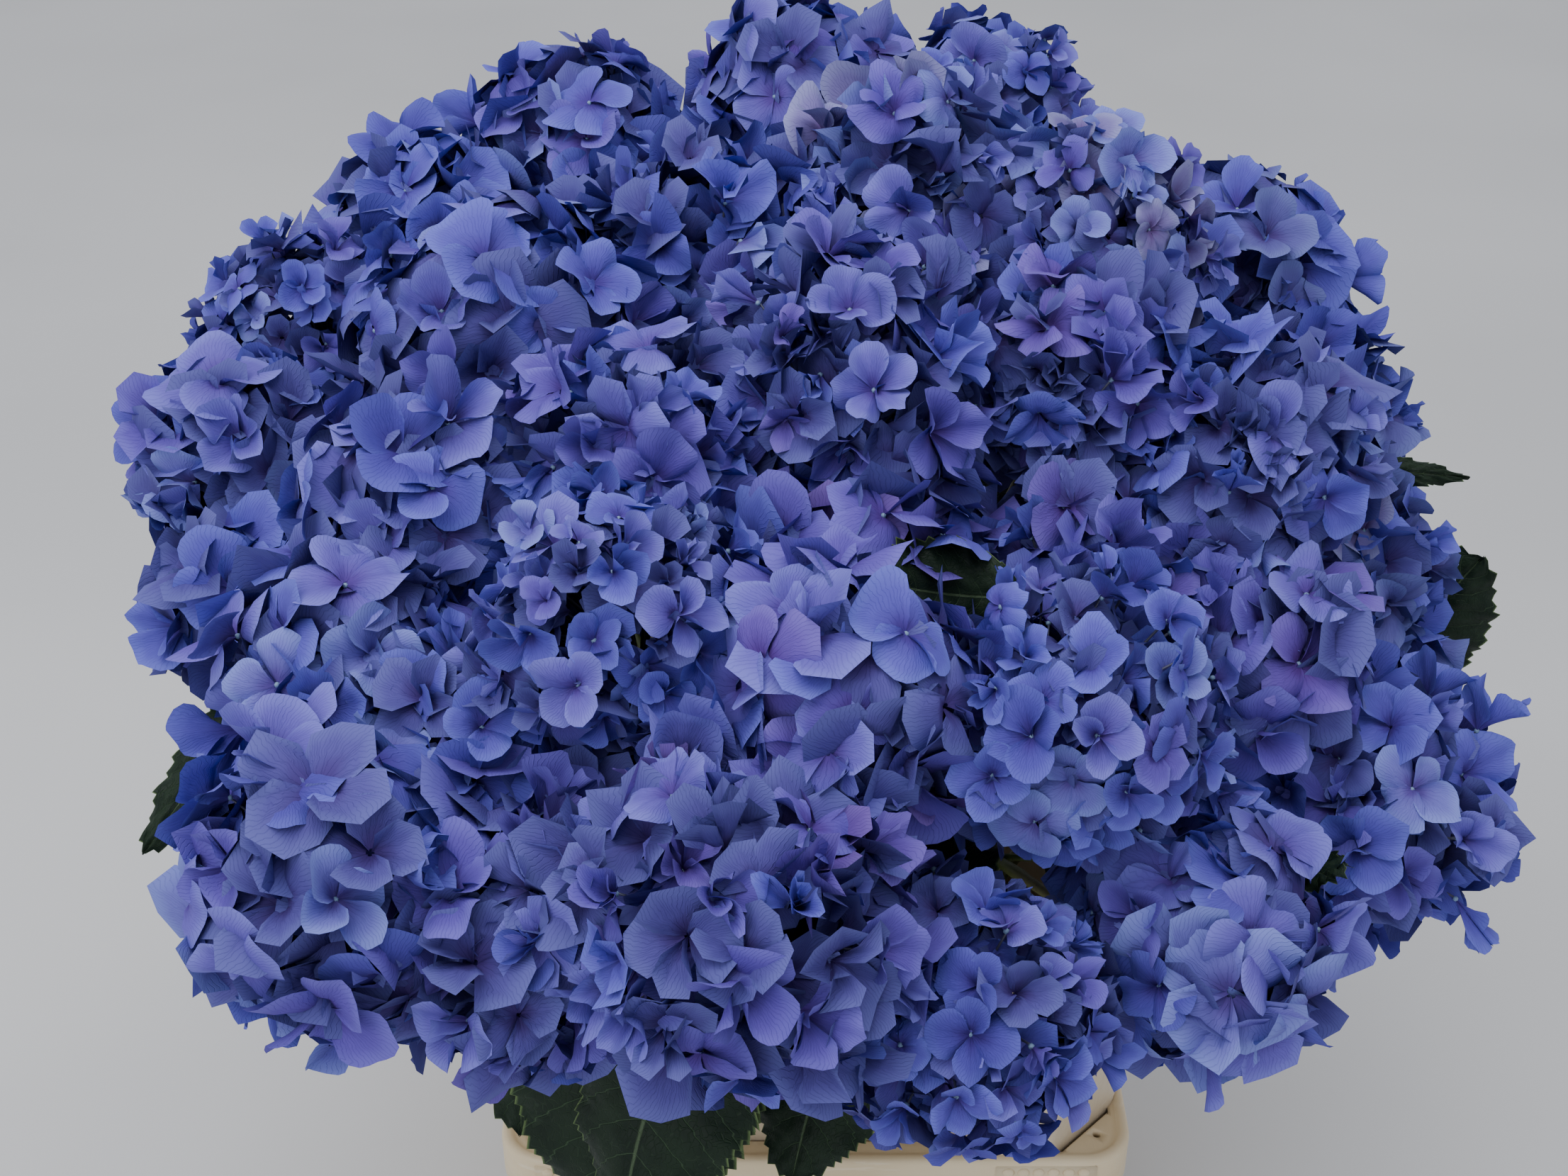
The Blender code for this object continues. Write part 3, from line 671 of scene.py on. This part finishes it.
def stem_radii(points, foot_r, tip_r, joints):
    """Tapering radii with a swelling at each joint and a slow unevenness between."""
    share = np.linspace(0, 1, len(points))
    r = foot_r + (tip_r - foot_r) * share
    for at in joints:
        r = r * (1 + 0.32 * np.exp(-((share - at) / 0.010) ** 2))
    a = np.linspace(0, 2 * math.pi, SIDES, endpoint=False)
    ridge = 1 + 0.05 * np.sin(3 * a[None] + 9 * share[:, None]) + 0.03 * np.sin(40 * share)[:, None]
    return r[:, None] * ridge


stems = Heap()
limbs = [name for name in BLOOMS if name not in FORKS.values()]
for name in limbs:
    line = finer(stem_path(name), 9)
    joints = (0.18, 0.34, 0.50, 0.66, 0.80)
    stems.add(*rod(line, stem_radii(line, STEM_FOOT_R, STEM_TIP_R, joints), SIDES))
    if name in FORKS:
        line = finer(branch_path(name, FORKS[name]), 6)
        radii = stem_radii(line, STEM_TIP_R * 1.1, STEM_TIP_R * 0.9, (0.3, 0.7))
        stems.add(*rod(line, radii, SIDES))
stems.piece("stems", [stem_mat], "greenery", ["stem_" + name for name in limbs])


# --- Leaves ------------------------------------------------------------------------
# Broad dark green leaves on short stalks, with saw-toothed edges and a puckered blade
# that bulges between sunken veins. Each stem keeps one or two below its bloom.
PETIOLE_R, PETIOLE_PITCH = 0.0019, 20
TIP_MATCH = 0.004                 # how near a blade's tip must come to the solid's leaf
LEAF_TRIES = [(share, turn) for share in (0.78, 0.70, 0.62)
              for turn in (0, 35, -35, 70, -70, 110, -110, 150, -150)]
LEAF_SHAPE = (8, -45, 0.032, 0.115, 0.078)   # pitches, petiole, blade, width
LEAVES = [  # stem, share of its length, heading, pitch at foot and tip, petiole, blade, width
    ("front_mid", 0.68, -122, -20, -84, 0.050, 0.165, 0.105),
    ("front_in_left", 0.66, -98, -24, -86, 0.035, 0.185, 0.142),
    ("front_left", 0.66, -104, -30, -80, 0.030, 0.130, 0.090),
    ("front_mid_right", 0.66, -118, -36, -66, 0.035, 0.135, 0.088),
    ("left_up", 0.62, -160, -4, -50, 0.060, 0.150, 0.090),
    ("right_up", 0.72, 4, 4, -20, 0.050, 0.140, 0.088),
    ("rear_left", 0.70, 115, -10, -70, 0.050, 0.140, 0.095),
    ("rear_right", 0.70, 70, -10, -70, 0.050, 0.140, 0.095),
]
SMALL_LEAVES = [  # stem, share, foot and tip of the blade, sag, width, bank in degrees
    ("left_low", 0.90, (-0.300, -0.120, 0.550), (-0.358, -0.200, 0.492), 0.002, 0.034, -30),
    ("mid_right", 0.98, (0.098, -0.196, 0.652), (0.006, -0.208, 0.675), -0.010, 0.050, -62),
    ("right_up", 0.98, (0.290, 0.020, 0.598), (0.378, 0.004, 0.603), 0.006, 0.018, 45),
    ("right_mid", 0.98, (0.336, -0.020, 0.474), (0.386, -0.022, 0.566), 0.004, 0.075, 78),
    ("left_low", 0.96, (-0.262, -0.140, 0.618), (-0.316, -0.158, 0.582), 0.004, 0.028, 40),
    ("front_mid_right", 0.84, (0.055, -0.235, 0.474), (0.040, -0.105, 0.505), 0.010, 0.095, 0),
    ("right_in", 0.60, (0.180, -0.085, 0.450), (0.290, -0.135, 0.474), 0.010, 0.085, 0),
    ("mid_centre", 0.80, (-0.010, -0.190, 0.505), (-0.090, -0.215, 0.520), 0.010, 0.080, 0),
    ("front_right", 0.98, (0.240, -0.215, 0.500), (0.252, -0.262, 0.528), 0.004, 0.034, 20),
    ("rear_right", 0.80, (0.176, 0.150, 0.542), (0.300, 0.165, 0.440), 0.010, 0.110, 40),
    ("rear_left", 0.86, (-0.128, 0.140, 0.560), (-0.222, 0.158, 0.520), 0.010, 0.100, 0),
    ("right_up", 0.86, (0.196, 0.030, 0.540), (0.286, 0.066, 0.520), 0.010, 0.090, 0),
    ("rear_mid", 0.80, (0.020, 0.225, 0.520), (0.078, 0.322, 0.470), 0.008, 0.086, 0),
]


def leaf_line(start, heading, pitch0, pitch1, length, steps):
    """Points that leave on a heading while the pitch turns evenly."""
    across = Vector((math.cos(math.radians(heading)), math.sin(math.radians(heading)), 0))
    points = [start.copy()]
    for i in range(steps):
        pitch = math.radians(pitch0 + (pitch1 - pitch0) * (i + 0.5) / steps)
        step = across * math.cos(pitch) + Vector((0, 0, math.sin(pitch)))
        points.append(points[-1] + step * (length / steps))
    return points


VEINS = 7                        # side veins on each half of a blade


def vein_wave(u, v):
    """Where a place lies between two side veins, from -1 to 1; they curve towards the tip."""
    return ((v - 0.26 * np.abs(u) ** 1.3 * (1 - 0.35 * v)) * (VEINS + 1.5)) % 1 * 2 - 1


def leaf_blade(points, heading, width, roll, curl, teeth=28, bank=0.0):
    """An oval pointed blade with a saw-toothed edge, as vertices, quads and map places."""
    steps, across = teeth * 3, 16
    line = np.array([tuple(p) for p in points])
    v = np.linspace(0, 1, steps + 1)
    at = v * (len(line) - 1)
    spine = np.stack([np.interp(at, np.arange(len(line)), line[:, k]) for k in range(3)], 1)
    for _ in range(10):
        spine[1:-1] = (spine[:-2] + spine[1:-1] * 2 + spine[2:]) / 4
    ahead = unit(np.gradient(spine, axis=0))
    h = math.radians(heading)
    side = np.array([-math.sin(h), math.cos(h), 0.0])
    up = np.cross(ahead, side)
    turn = math.radians(bank) + math.radians(roll) * v[:, None]
    side = side * np.cos(turn) + up * np.sin(turn)
    up = np.cross(ahead, side)
    half = width / 2 * np.sin(math.pi * np.clip(v, 0.004, 0.996) ** 0.82) ** 0.75
    saw = (v * teeth) % 1
    tooth = np.where((v > 0.08) & (v < 0.985), 0.0042 * saw ** 1.2, 0.0)
    tip = np.clip((v - 0.93) / 0.07, 0, 1)
    half = half * (1 - 0.45 * tip) + tooth * np.clip(half / 0.02, 0, 1)
    u = np.linspace(-1, 1, across + 1)
    uu, vv = np.meshgrid(u, v)
    puff = np.cos(vein_wave(uu, vv) * math.pi) * 0.5 + 0.5
    puff = puff ** 0.6 * (1 - np.abs(uu) ** 3) * np.clip(np.abs(uu) * 6, 0, 1)
    puff *= 0.7 + 0.3 * np.sin(uu * 17) * np.sin(vv * 40)
    sway = 0.0030 * np.abs(uu) ** 3 * np.sin(vv * 31 + 2 * np.sign(uu))
    lift = (-np.abs(uu) * half[:, None] * 0.14 + puff * 0.0030 + sway
            - curl * np.abs(uu) ** 2.5 * half[:, None] - 0.0012 * (np.abs(uu) < 0.05))
    reach = uu * half[:, None]
    # The teeth lean towards the tip.
    lean = np.where(np.abs(uu) > 0.99, (saw * tooth)[:, None] * 0.8, 0.0)
    verts = (spine[:, None] + side[:, None] * reach[..., None] + up[:, None] * lift[..., None]
             + ahead[:, None] * lean[..., None])
    uv = np.stack([uu * 0.46 + 0.5, vv * 0.96 + 0.02], -1)
    return verts.reshape(-1, 3), grid_faces(steps + 1, across + 1)[:, ::-1], uv.reshape(-1, 2)


leaf_mat, shader, place = finish("leaf_green", 0.5, specular=0.15)
chart = place.node("UVMap", 0, {"uv_map": "OFBake"})
u = (chart.part(0) - 0.5).size() / 0.46
v = (chart.part(1) - 0.02) / 0.96
wave = (v - u.power(1.3) * 0.26 * (1.0 - v * 0.35)) * (VEINS + 1.5)
side_vein = (wave.maths("FRACT") * 2.0 - 1.0).size().between(0.93, 0.99)
midrib = u.between(0.010, 0.034, 1.0, 0.0)
cells = chart.node("TexVoronoi", 0, {"feature": "DISTANCE_TO_EDGE"}, Vector=chart, Scale=34.0)
net = cells.between(0.0, 0.07, 1.0, 0.0)
mottle = chart.noise(5.0, 4.0)
colour = mottle.between(0.3, 0.7).tint((0.007, 0.016, 0.010), (0.014, 0.028, 0.016))
colour = (net * 0.16).tint(colour, (0.045, 0.085, 0.040))
colour = (side_vein * 0.50).tint(colour, (0.060, 0.105, 0.055))
colour = (midrib * 0.65).tint(colour, (0.100, 0.150, 0.080))
colour = (u.between(0.965, 0.998) * 0.7).tint(colour, (0.16, 0.24, 0.09))
connect(shader, Base_Color=colour, Roughness=mottle.between(0.2, 0.8, 0.42, 0.56),
        Normal=(net * -0.5 - side_vein - midrib).bump(0.0006, 0.7))

leaves, stalks = Heap(), Heap()


def grow_leaf(path, leaf, roll, curl):
    share, heading, pitch0, pitch1, petiole, length, width = leaf
    start = point_along(path, share)
    stalk = leaf_line(start, heading, PETIOLE_PITCH, pitch0, petiole, 6)
    line = leaf_line(stalk[-1], heading, pitch0, pitch1, length, 12)
    radii = np.linspace(PETIOLE_R * 1.25, PETIOLE_R * 0.8, len(stalk) + 1)
    stalks.add(*rod(stalk + [line[1]], radii, 7))
    leaves.add(*leaf_blade(line, heading, width, roll, curl))


for name, *leaf in LEAVES:
    grow_leaf(stem_path(name), leaf, rng.uniform(-8, 8), rng.uniform(0, 0.15))
named = {leaf[0] for leaf in LEAVES}
for name in limbs:
    if name in named:
        continue
    x, y = BLOOMS[name][:2]
    outward = math.degrees(math.atan2(y, x))
    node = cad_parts["stem_" + name]
    solid = np.array([v.co for v in node.data.vertices])
    for share, turn in LEAF_TRIES:
        leaf = (share, outward + turn, *LEAF_SHAPE)
        start = point_along(stem_path(name), share)
        stalk = leaf_line(start, leaf[1], PETIOLE_PITCH, leaf[2], leaf[4], 2)
        tip = np.array(leaf_line(stalk[-1], leaf[1], leaf[2], leaf[3], leaf[5], 5)[-1])
        if np.linalg.norm(solid - tip, axis=1).min() < TIP_MATCH:
            grow_leaf(stem_path(name), leaf, rng.uniform(-8, 8), rng.uniform(0, 0.2))
            break
small_lines = []
for name, share, foot, tip, sag, width, bank in SMALL_LEAVES:
    start = point_along(stem_path(name), share)
    foot, tip = Vector(foot), Vector(tip)
    middle = (foot + tip) / 2 + Vector((0, 0, sag))
    line = [foot * (1 - t) ** 2 + middle * 2 * t * (1 - t) + tip * t * t
            for t in np.linspace(0, 1, 13)]
    heading = math.degrees(math.atan2(tip.y - foot.y, tip.x - foot.x))
    stalk = [start, (start + foot) / 2, foot, line[1]]
    stalks.add(*rod(stalk, [0.0016, 0.0014, 0.0013, 0.0010], 6))
    leaves.add(*leaf_blade(line, heading, width, rng.uniform(-8, 8), 0.1, 14, bank))
    small_lines += [np.array(p) for p in line]
leaves.piece("leaves", [leaf_mat], "greenery")
stalks.piece("leaf_stalks", [stem_mat], "greenery")


# --- Blooms ------------------------------------------------------------------------
# Round heads of many sterile florets. Each floret has four broad blue sepals round a
# small pale bud, on a thin stalk that branches from the head of its stem.
CROWN_FOOT = np.array((0.0, 0.0, 0.38))
TINTS = {  # the sepals' plain base colours, one for each slot
    "clear_blue": (0.097, 0.089, 0.448), "periwinkle": (0.121, 0.100, 0.443),
    "pale_blue": (0.140, 0.140, 0.487), "deep_blue": (0.070, 0.061, 0.345),
    "violet_blue": (0.106, 0.075, 0.392), "violet": (0.116, 0.070, 0.367),
    "lilac_grey": (0.180, 0.154, 0.395), "grey_blue": (0.100, 0.097, 0.335),
    # shaded is a painted shade tint. deep_blue is also the heads' own deep tone, and it doubles as
    # painted shade near neighbouring heads.
    "plum": (0.120, 0.062, 0.312), "shaded": (0.080, 0.070, 0.285)}
TILES = 4
FINE, MEDIUM = (14, (0.05, 0.38, 0.70, 1.0)), (9, (0.05, 0.36, 0.68, 1.0))
COARSE = (5, (0.08, 0.50, 1.0))
MIXES = {  # how often each tint turns up in a kind of bloom
    "blue": dict(clear_blue=5, periwinkle=3, pale_blue=2, deep_blue=2, violet_blue=1),
    "violet": dict(violet_blue=5, violet=1.5, periwinkle=4, clear_blue=2.5, plum=0.4),
    # The lilac mix, the palest, goes on two heads at the top of the crown. It is partly their own
    # lilac colour and partly painted light that brightens the top of the bunch.
    "lilac": dict(lilac_grey=4, periwinkle=3, pale_blue=3, violet_blue=1),
    "grey": dict(grey_blue=4, clear_blue=3, lilac_grey=1, deep_blue=2),
}
KINDS = {  # floret radius, rise and bend in degrees, wave, point, lean in degrees, camber
    "open": (0.0308, 36, -46, 0.15, 0.05, 24, 0.00),
    "cupped": (0.0208, 60, -50, 0.12, 0.12, 28, 0.08),
    "wavy": (0.0285, 62, -42, 0.20, 0.05, 34, 0.00),
}
LOOKS = {  # for each piece its blooms, with their kind of floret and mix of tints
    "front": dict(front_left="open blue", front_in_left="wavy violet", front_mid="wavy violet",
                  front_mid_right="cupped blue", front_right="open blue"),
    "middle": dict(left_mid="open blue", mid_left="cupped blue", mid_centre="open violet",
                   mid_right="cupped blue", inner_left="open blue", inner_mid="wavy violet",
                   deep_left="wavy blue", deep_mid="open violet"),
    "left": dict(left_low="open grey", left_up="open blue", left_top="cupped blue",
                 top_left="open blue", back_left_low="open blue", back_left="open blue"),
    "right": dict(right_low="wavy blue", right_in="open violet", inner_right="wavy blue",
                  right_mid="wavy grey", right_up="wavy grey", top_right="open grey"),
    "crown": dict(top_mid_front="wavy violet", top_mid_back="wavy lilac",
                  top_mid_right="wavy violet", filler="cupped lilac", back_mid="open blue",
                  back_right="cupped blue"),
    "rear": dict(rear_left="open blue", rear_mid="wavy blue", rear_right="open violet",
                 deep_back="wavy blue", deep_right="wavy violet")}

tint_names = list(TINTS)
sepal_mats = []
for name in tint_names:
    mat, shader, place = finish("sepal_" + name, 0.75, specular=0.12)
    chart = place.node("UVMap", 0, {"uv_map": "OFBake"})
    across = ((chart.part(0) * TILES).maths("FRACT") - 0.5) / 0.46
    out = ((chart.part(1) * TILES).maths("FRACT") - 0.04) / 0.92
    base = np.array(TINTS[name])
    # Each sepal runs from a purple heart to a bluer rim, which is its own colour. The darkening at
    # the heart is partly painted shade, and the paleness at the rim is partly a painted highlight.
    heart_hue_and_shade = tuple(base * (0.64, 0.40, 0.55))
    rim_hue_and_highlight = tuple(base * (1.30, 1.55, 1.24))
    wobble = chart.noise(26.0, 3.0)
    patch = chart.noise(9.0)
    colour = (out + patch * 0.3 - 0.15).between(0.10, 0.66).tint(heart_hue_and_shade, tuple(base))
    colour = (out + patch * 0.3 - 0.15).between(0.66, 1.0).tint(colour, rim_hue_and_highlight)
    fan = ((across * 4.5 + wobble * 1.1).maths("FRACT") * 2.0 - 1.0).size()
    veins = fan.between(0.82, 0.99) * out.between(0.10, 0.95, 1.0, 0.0)
    twig = ((across * 13.0 + out * 3.5 + wobble * 2.4).maths("FRACT") * 2.0 - 1.0).size()
    fine = twig.between(0.70, 1.0) * out.between(0.30, 0.60) * 0.5
    colour = ((veins + fine) * 0.36).tint(colour, tuple(base * (0.50, 0.42, 0.60)))
    connect(shader, Base_Color=colour,
            Normal=(wobble * 1.2 - (veins + fine)).bump(0.0005, 0.6))
    sepal_mats.append(mat)


def sepal(detail, length, spread, rise, bend, wave, point, camber, prop, tuck):
    """One sepal as a fan from the floret's middle, along +X with +Z outwards. It leaves
    at the angle rise and bends by the angle bend up to its tip."""
    s = np.linspace(-1, 1, detail[0] + 1)[None, :]
    s = s * (1.25 - 0.25 * s * s)
    t = np.array(detail[1])[:, None]
    a = s * spread
    p, q = rng.uniform(0, 6.28, 2)
    edge = (1 - 0.38 * np.abs(s) ** 2.4 - 0.13 * np.abs(s) ** 8 + 0.030 * np.sin(4.4 * s + p)
            + 0.020 * np.sin(9.5 * s + q) + point * np.exp(-(s / 0.16) ** 2))
    turn = rise + bend * t
    across = (np.sin(turn) - math.sin(rise)) / bend
    up = (math.cos(rise) - np.cos(turn)) / bend
    ripple = length * (camber * s ** 2 * t + prop * s * t
                       + wave * t ** 2 * np.sin(2.6 * s + q)
                       + wave * 0.42 * t ** 3 * np.sin(6.4 * s + p)
                       - 0.045 * np.exp(-(s / 0.2) ** 2) * t)
    reach = length * edge * across - np.sin(turn) * ripple
    lift = length * edge * up + np.cos(turn) * ripple + tuck
    verts = np.stack([reach * np.cos(a), reach * np.sin(a), lift], -1)
    uv = np.stack(np.broadcast_arrays(s * 0.46 + 0.5, t * 0.92 + 0.04), -1)
    return verts.reshape(-1, 3), uv.reshape(-1, 2)


SEPAL_FACES = {detail: grid_faces(len(detail[1]), detail[0] + 1)
               for detail in (FINE, MEDIUM, COARSE)}
BUD = bmesh.new()
bmesh.ops.create_icosphere(BUD, subdivisions=1, radius=1.0)
BUD_VERTS = np.array([v.co for v in BUD.verts])
BUD_FACES = np.array([[v.index for v in f.verts] for f in BUD.faces])


def floret(radius, kind, detail):
    """Four sepals in two pairs, as vertices and map places."""
    _, rise, bend, wave, point, _, camber = KINDS[kind]
    verts, places = [], []
    rise, bend = rise + rng.normal(0, 13), bend + rng.normal(0, 28)
    prop = rng.choice([-1, 1]) * rng.uniform(0.05, 0.20)
    count = 5 if rng.random() < 0.06 else 4
    size = rng.uniform(0.90, 1.08, 2)
    for k in range(count):
        petal, uv = sepal(detail, radius * size[k % 2] * rng.uniform(0.92, 1.06),
                          math.radians(rng.uniform(52, 66)) * 4 / count,
                          math.radians(rise + rng.normal(0, 7)),
                          math.radians(bend + rng.normal(0, 16)) + 0.003,
                          wave * rng.uniform(0.4, 1.6), point * rng.uniform(0.2, 1.8),
                          camber + rng.normal(0, 0.15), prop,
                          (0.0012 if k % 2 else 0.0) + rng.uniform(0, 0.0006))
        turn = 2 * math.pi * k / count + rng.uniform(-0.12, 0.12)
        c, s = math.cos(turn), math.sin(turn)
        verts.append(petal @ np.array([[c, s, 0], [-s, c, 0], [0, 0, 1]]))
        places.append(uv)
    return verts, places


def toward(direction, spin):
    """Rows that carry floret axes to a direction in space."""
    side = unit(np.cross(direction, (0, 0, 1) if abs(direction[2]) < 0.9 else (1, 0, 0)))
    other = np.cross(direction, side)
    c, s = math.cos(spin), math.sin(spin)
    return np.stack([side * c + other * s, other * c - side * s, direction])


def sphere_points(count, turn=0.0):
    i = np.arange(count)
    up = 1 - 2 * (i + 0.5) / count
    a = i * 2.39996 + turn
    flat = np.sqrt(1 - up * up)
    return np.stack([flat * np.cos(a), flat * np.sin(a), up], 1)


UNDER_LEVEL, TOP_LEVEL = 0.73, 0.82   # where the shaded and the outer florets start
GAP_LEVEL = 0.71                  # where a gap needs one more shaded floret
FLAT_BELOW = 0.80                 # how far a bloom reaches down, as a share of up
COLLAR_KEEP = (0.225, 0.18, 0.42)     # no floret grows in here
LEAF_KEEP = 0.027                 # and none this near to a small leaf
WEATHER = sphere_points(1500)     # directions in which a bloom's build-up is kept
AROUND_EACH = np.argsort(-(WEATHER @ WEATHER.T), axis=1)[:, :9]     # the nearest of each
# The buds are pale blue, toned darker in part as painted shade for their place in the floret's cup.
bud_mat, shader, place = finish("bud_pale", 0.5)
connect(shader, Base_Color=place.noise(300.0).tint((0.13, 0.21, 0.37), (0.20, 0.30, 0.44)))
# The floret stalks are a dark blue-black: painted shade for their place deep inside the heads.
stalk_mat, shader, place = finish("floret_stalk", 0.55)
connect(shader, Base_Color=place.noise(60.0).tint((0.040, 0.038, 0.100), (0.060, 0.070, 0.110)))
buds, threads = Heap(), Heap()
for group, looks in LOOKS.items():
    heap = Heap()
    for name, look in looks.items():
        kind, mix = look.split()
        x, y, z, r = BLOOMS[name]
        here = np.array((x, y, z))
        axis = np.array(stem_axis(name))
        outward = unit(here - CROWN_FOOT)
        planes = []
        for other, (ox, oy, oz, other_r) in BLOOMS.items():
            away = np.array((ox, oy, oz)) - here
            reach = np.linalg.norm(away)
            if other != name and reach < r + other_r + 0.03:
                limit = (reach * reach + r * r - other_r * other_r) / (2 * reach)
                planes.append((away / reach, limit))
        radius, *_, lean, _ = KINDS[kind]
        weights = np.array([MIXES[mix].get(t, 0) for t in tint_names], float)
        weights /= weights.sum()
        built = np.full(len(WEATHER), r * 0.60)
        area = 4 * (r / radius) ** 2

        def is_bare(k, level):
            return np.percentile(built[AROUND_EACH[k]], 30) < r * level

        def bare(level):
            """Directions still open below a level, in a random order."""
            return [WEATHER[k] for k in rng.permutation(len(WEATHER)) if is_bare(k, level)]

        def deposit(d, level, size, dim, only_bare=0.0):
            """Lays one floret on what has built up so far."""
            if only_bare and not is_bare(np.argmax(WEATHER @ d), only_bare):
                return
            # None grows towards the crown's middle, on the stem or past a neighbour's plane.
            if d @ outward < (-0.75 if dim else -0.5) or d @ axis > (0.93 if dim else 0.80):
                return
            if any(n @ d * r * 0.92 > limit + (0.016 if dim else 0.006) for n, limit in planes):
                return
            tilt = d + rng.normal(0, math.tan(math.radians(lean)) * 0.5, 3)
            for n, limit in planes:
                near = n @ d * r - limit + 0.020
                if near > 0:
                    tilt = tilt - n * near * 9
            tilt = unit(tilt)
            if tilt @ d < 0.45:
                tilt = unit(tilt + d * 0.7)
            hidden = name.startswith("deep_")
            detail = COARSE if dim else MEDIUM if kind == "cupped" or hidden else FINE
            petals, places = floret(radius * size * rng.uniform(0.76, 1.16), kind, detail)
            turn = toward(tilt, rng.uniform(0, 6.28))
            shapes = [p @ turn for p in petals]
            # It moves out until most of it is clear of the florets below.
            cloud = np.concatenate(shapes) + d * r * level
            dist = np.linalg.norm(cloud, axis=1)
            at = np.argmax((cloud / dist[:, None]) @ WEATHER.T, axis=1)
            need = np.percentile(built[at] + 0.0010 - dist, 62)
            rise = float(np.clip(need, -0.006, r * 0.99 - r * level))
            cloud += d * rise
            np.maximum.at(built, at, np.linalg.norm(cloud, axis=1))
            # It sinks near a neighbour, and further down it often takes a darker tint there as
            # painted shade between heads.
            edge = max([n @ d * r - limit for n, limit in planes], default=-1.0)
            sink = 0.0 if dim else d * 0.10 * r * float(np.clip((edge + 0.026) / 0.030, 0, 1))
            middle = (d * (r * level + rise) - sink) * (1, 1, FLAT_BELOW if d[2] < 0 else 1) + here
            near_leaf = np.linalg.norm(small_lines - middle, axis=1).min() < LEAF_KEEP
            if near_leaf or np.all(np.abs(middle) < COLLAR_KEEP):
                return
            tint = rng.choice(len(tint_names), p=weights)
            # Painted shade: an under-layer floret, and often one near a neighbouring head, takes
            # the shaded or the deep_blue tint in place of its own.
            if rng.random() < (0.6 if dim else np.clip((edge + 0.012) / 0.030, 0, 0.55)):
                tint = tint_names.index("shaded" if dim or rng.random() < 0.4 else "deep_blue")
            corner = np.array((tint % TILES, tint // TILES)) / TILES
            for shape, uv in zip(shapes, places):
                heap.add(shape + middle, SEPAL_FACES[detail], uv / TILES + corner, tint)
            if dim:
                return
            buds.add(BUD_VERTS * 0.0016 + middle + tilt * 0.0013, BUD_FACES)
            hub = here + axis * r * 0.55
            elbow = hub * 0.5 + middle * 0.5 - tilt * r * 0.12
            bend = [Vector(p) for p in (hub, elbow, middle)]
            threads.add(*rod(bend, [0.0014, 0.0009, 0.0007], 3))

        def scattered(count):
            spots = sphere_points(count, rng.uniform(0, 6.28))
            return unit(spots[rng.permutation(count)] + rng.normal(0, 0.09, (count, 3)))

        for d in scattered(int(area * 0.6)):
            deposit(d, UNDER_LEVEL, 0.95, True)
        for d in bare(GAP_LEVEL):
            deposit(d, UNDER_LEVEL, 1.1, True, GAP_LEVEL)
        for d in scattered(int(area * 1.45)):
            deposit(d, TOP_LEVEL, 1.0, False)
        for d in bare(TOP_LEVEL):
            deposit(d, TOP_LEVEL, 0.92, False, TOP_LEVEL)
    heap.piece("sepals_" + group, sepal_mats, "sepals", ["bloom_" + name for name in looks])
buds.piece("buds", [bud_mat], "sepals")
threads.piece("floret_stalks", [stalk_mat], "sepals")
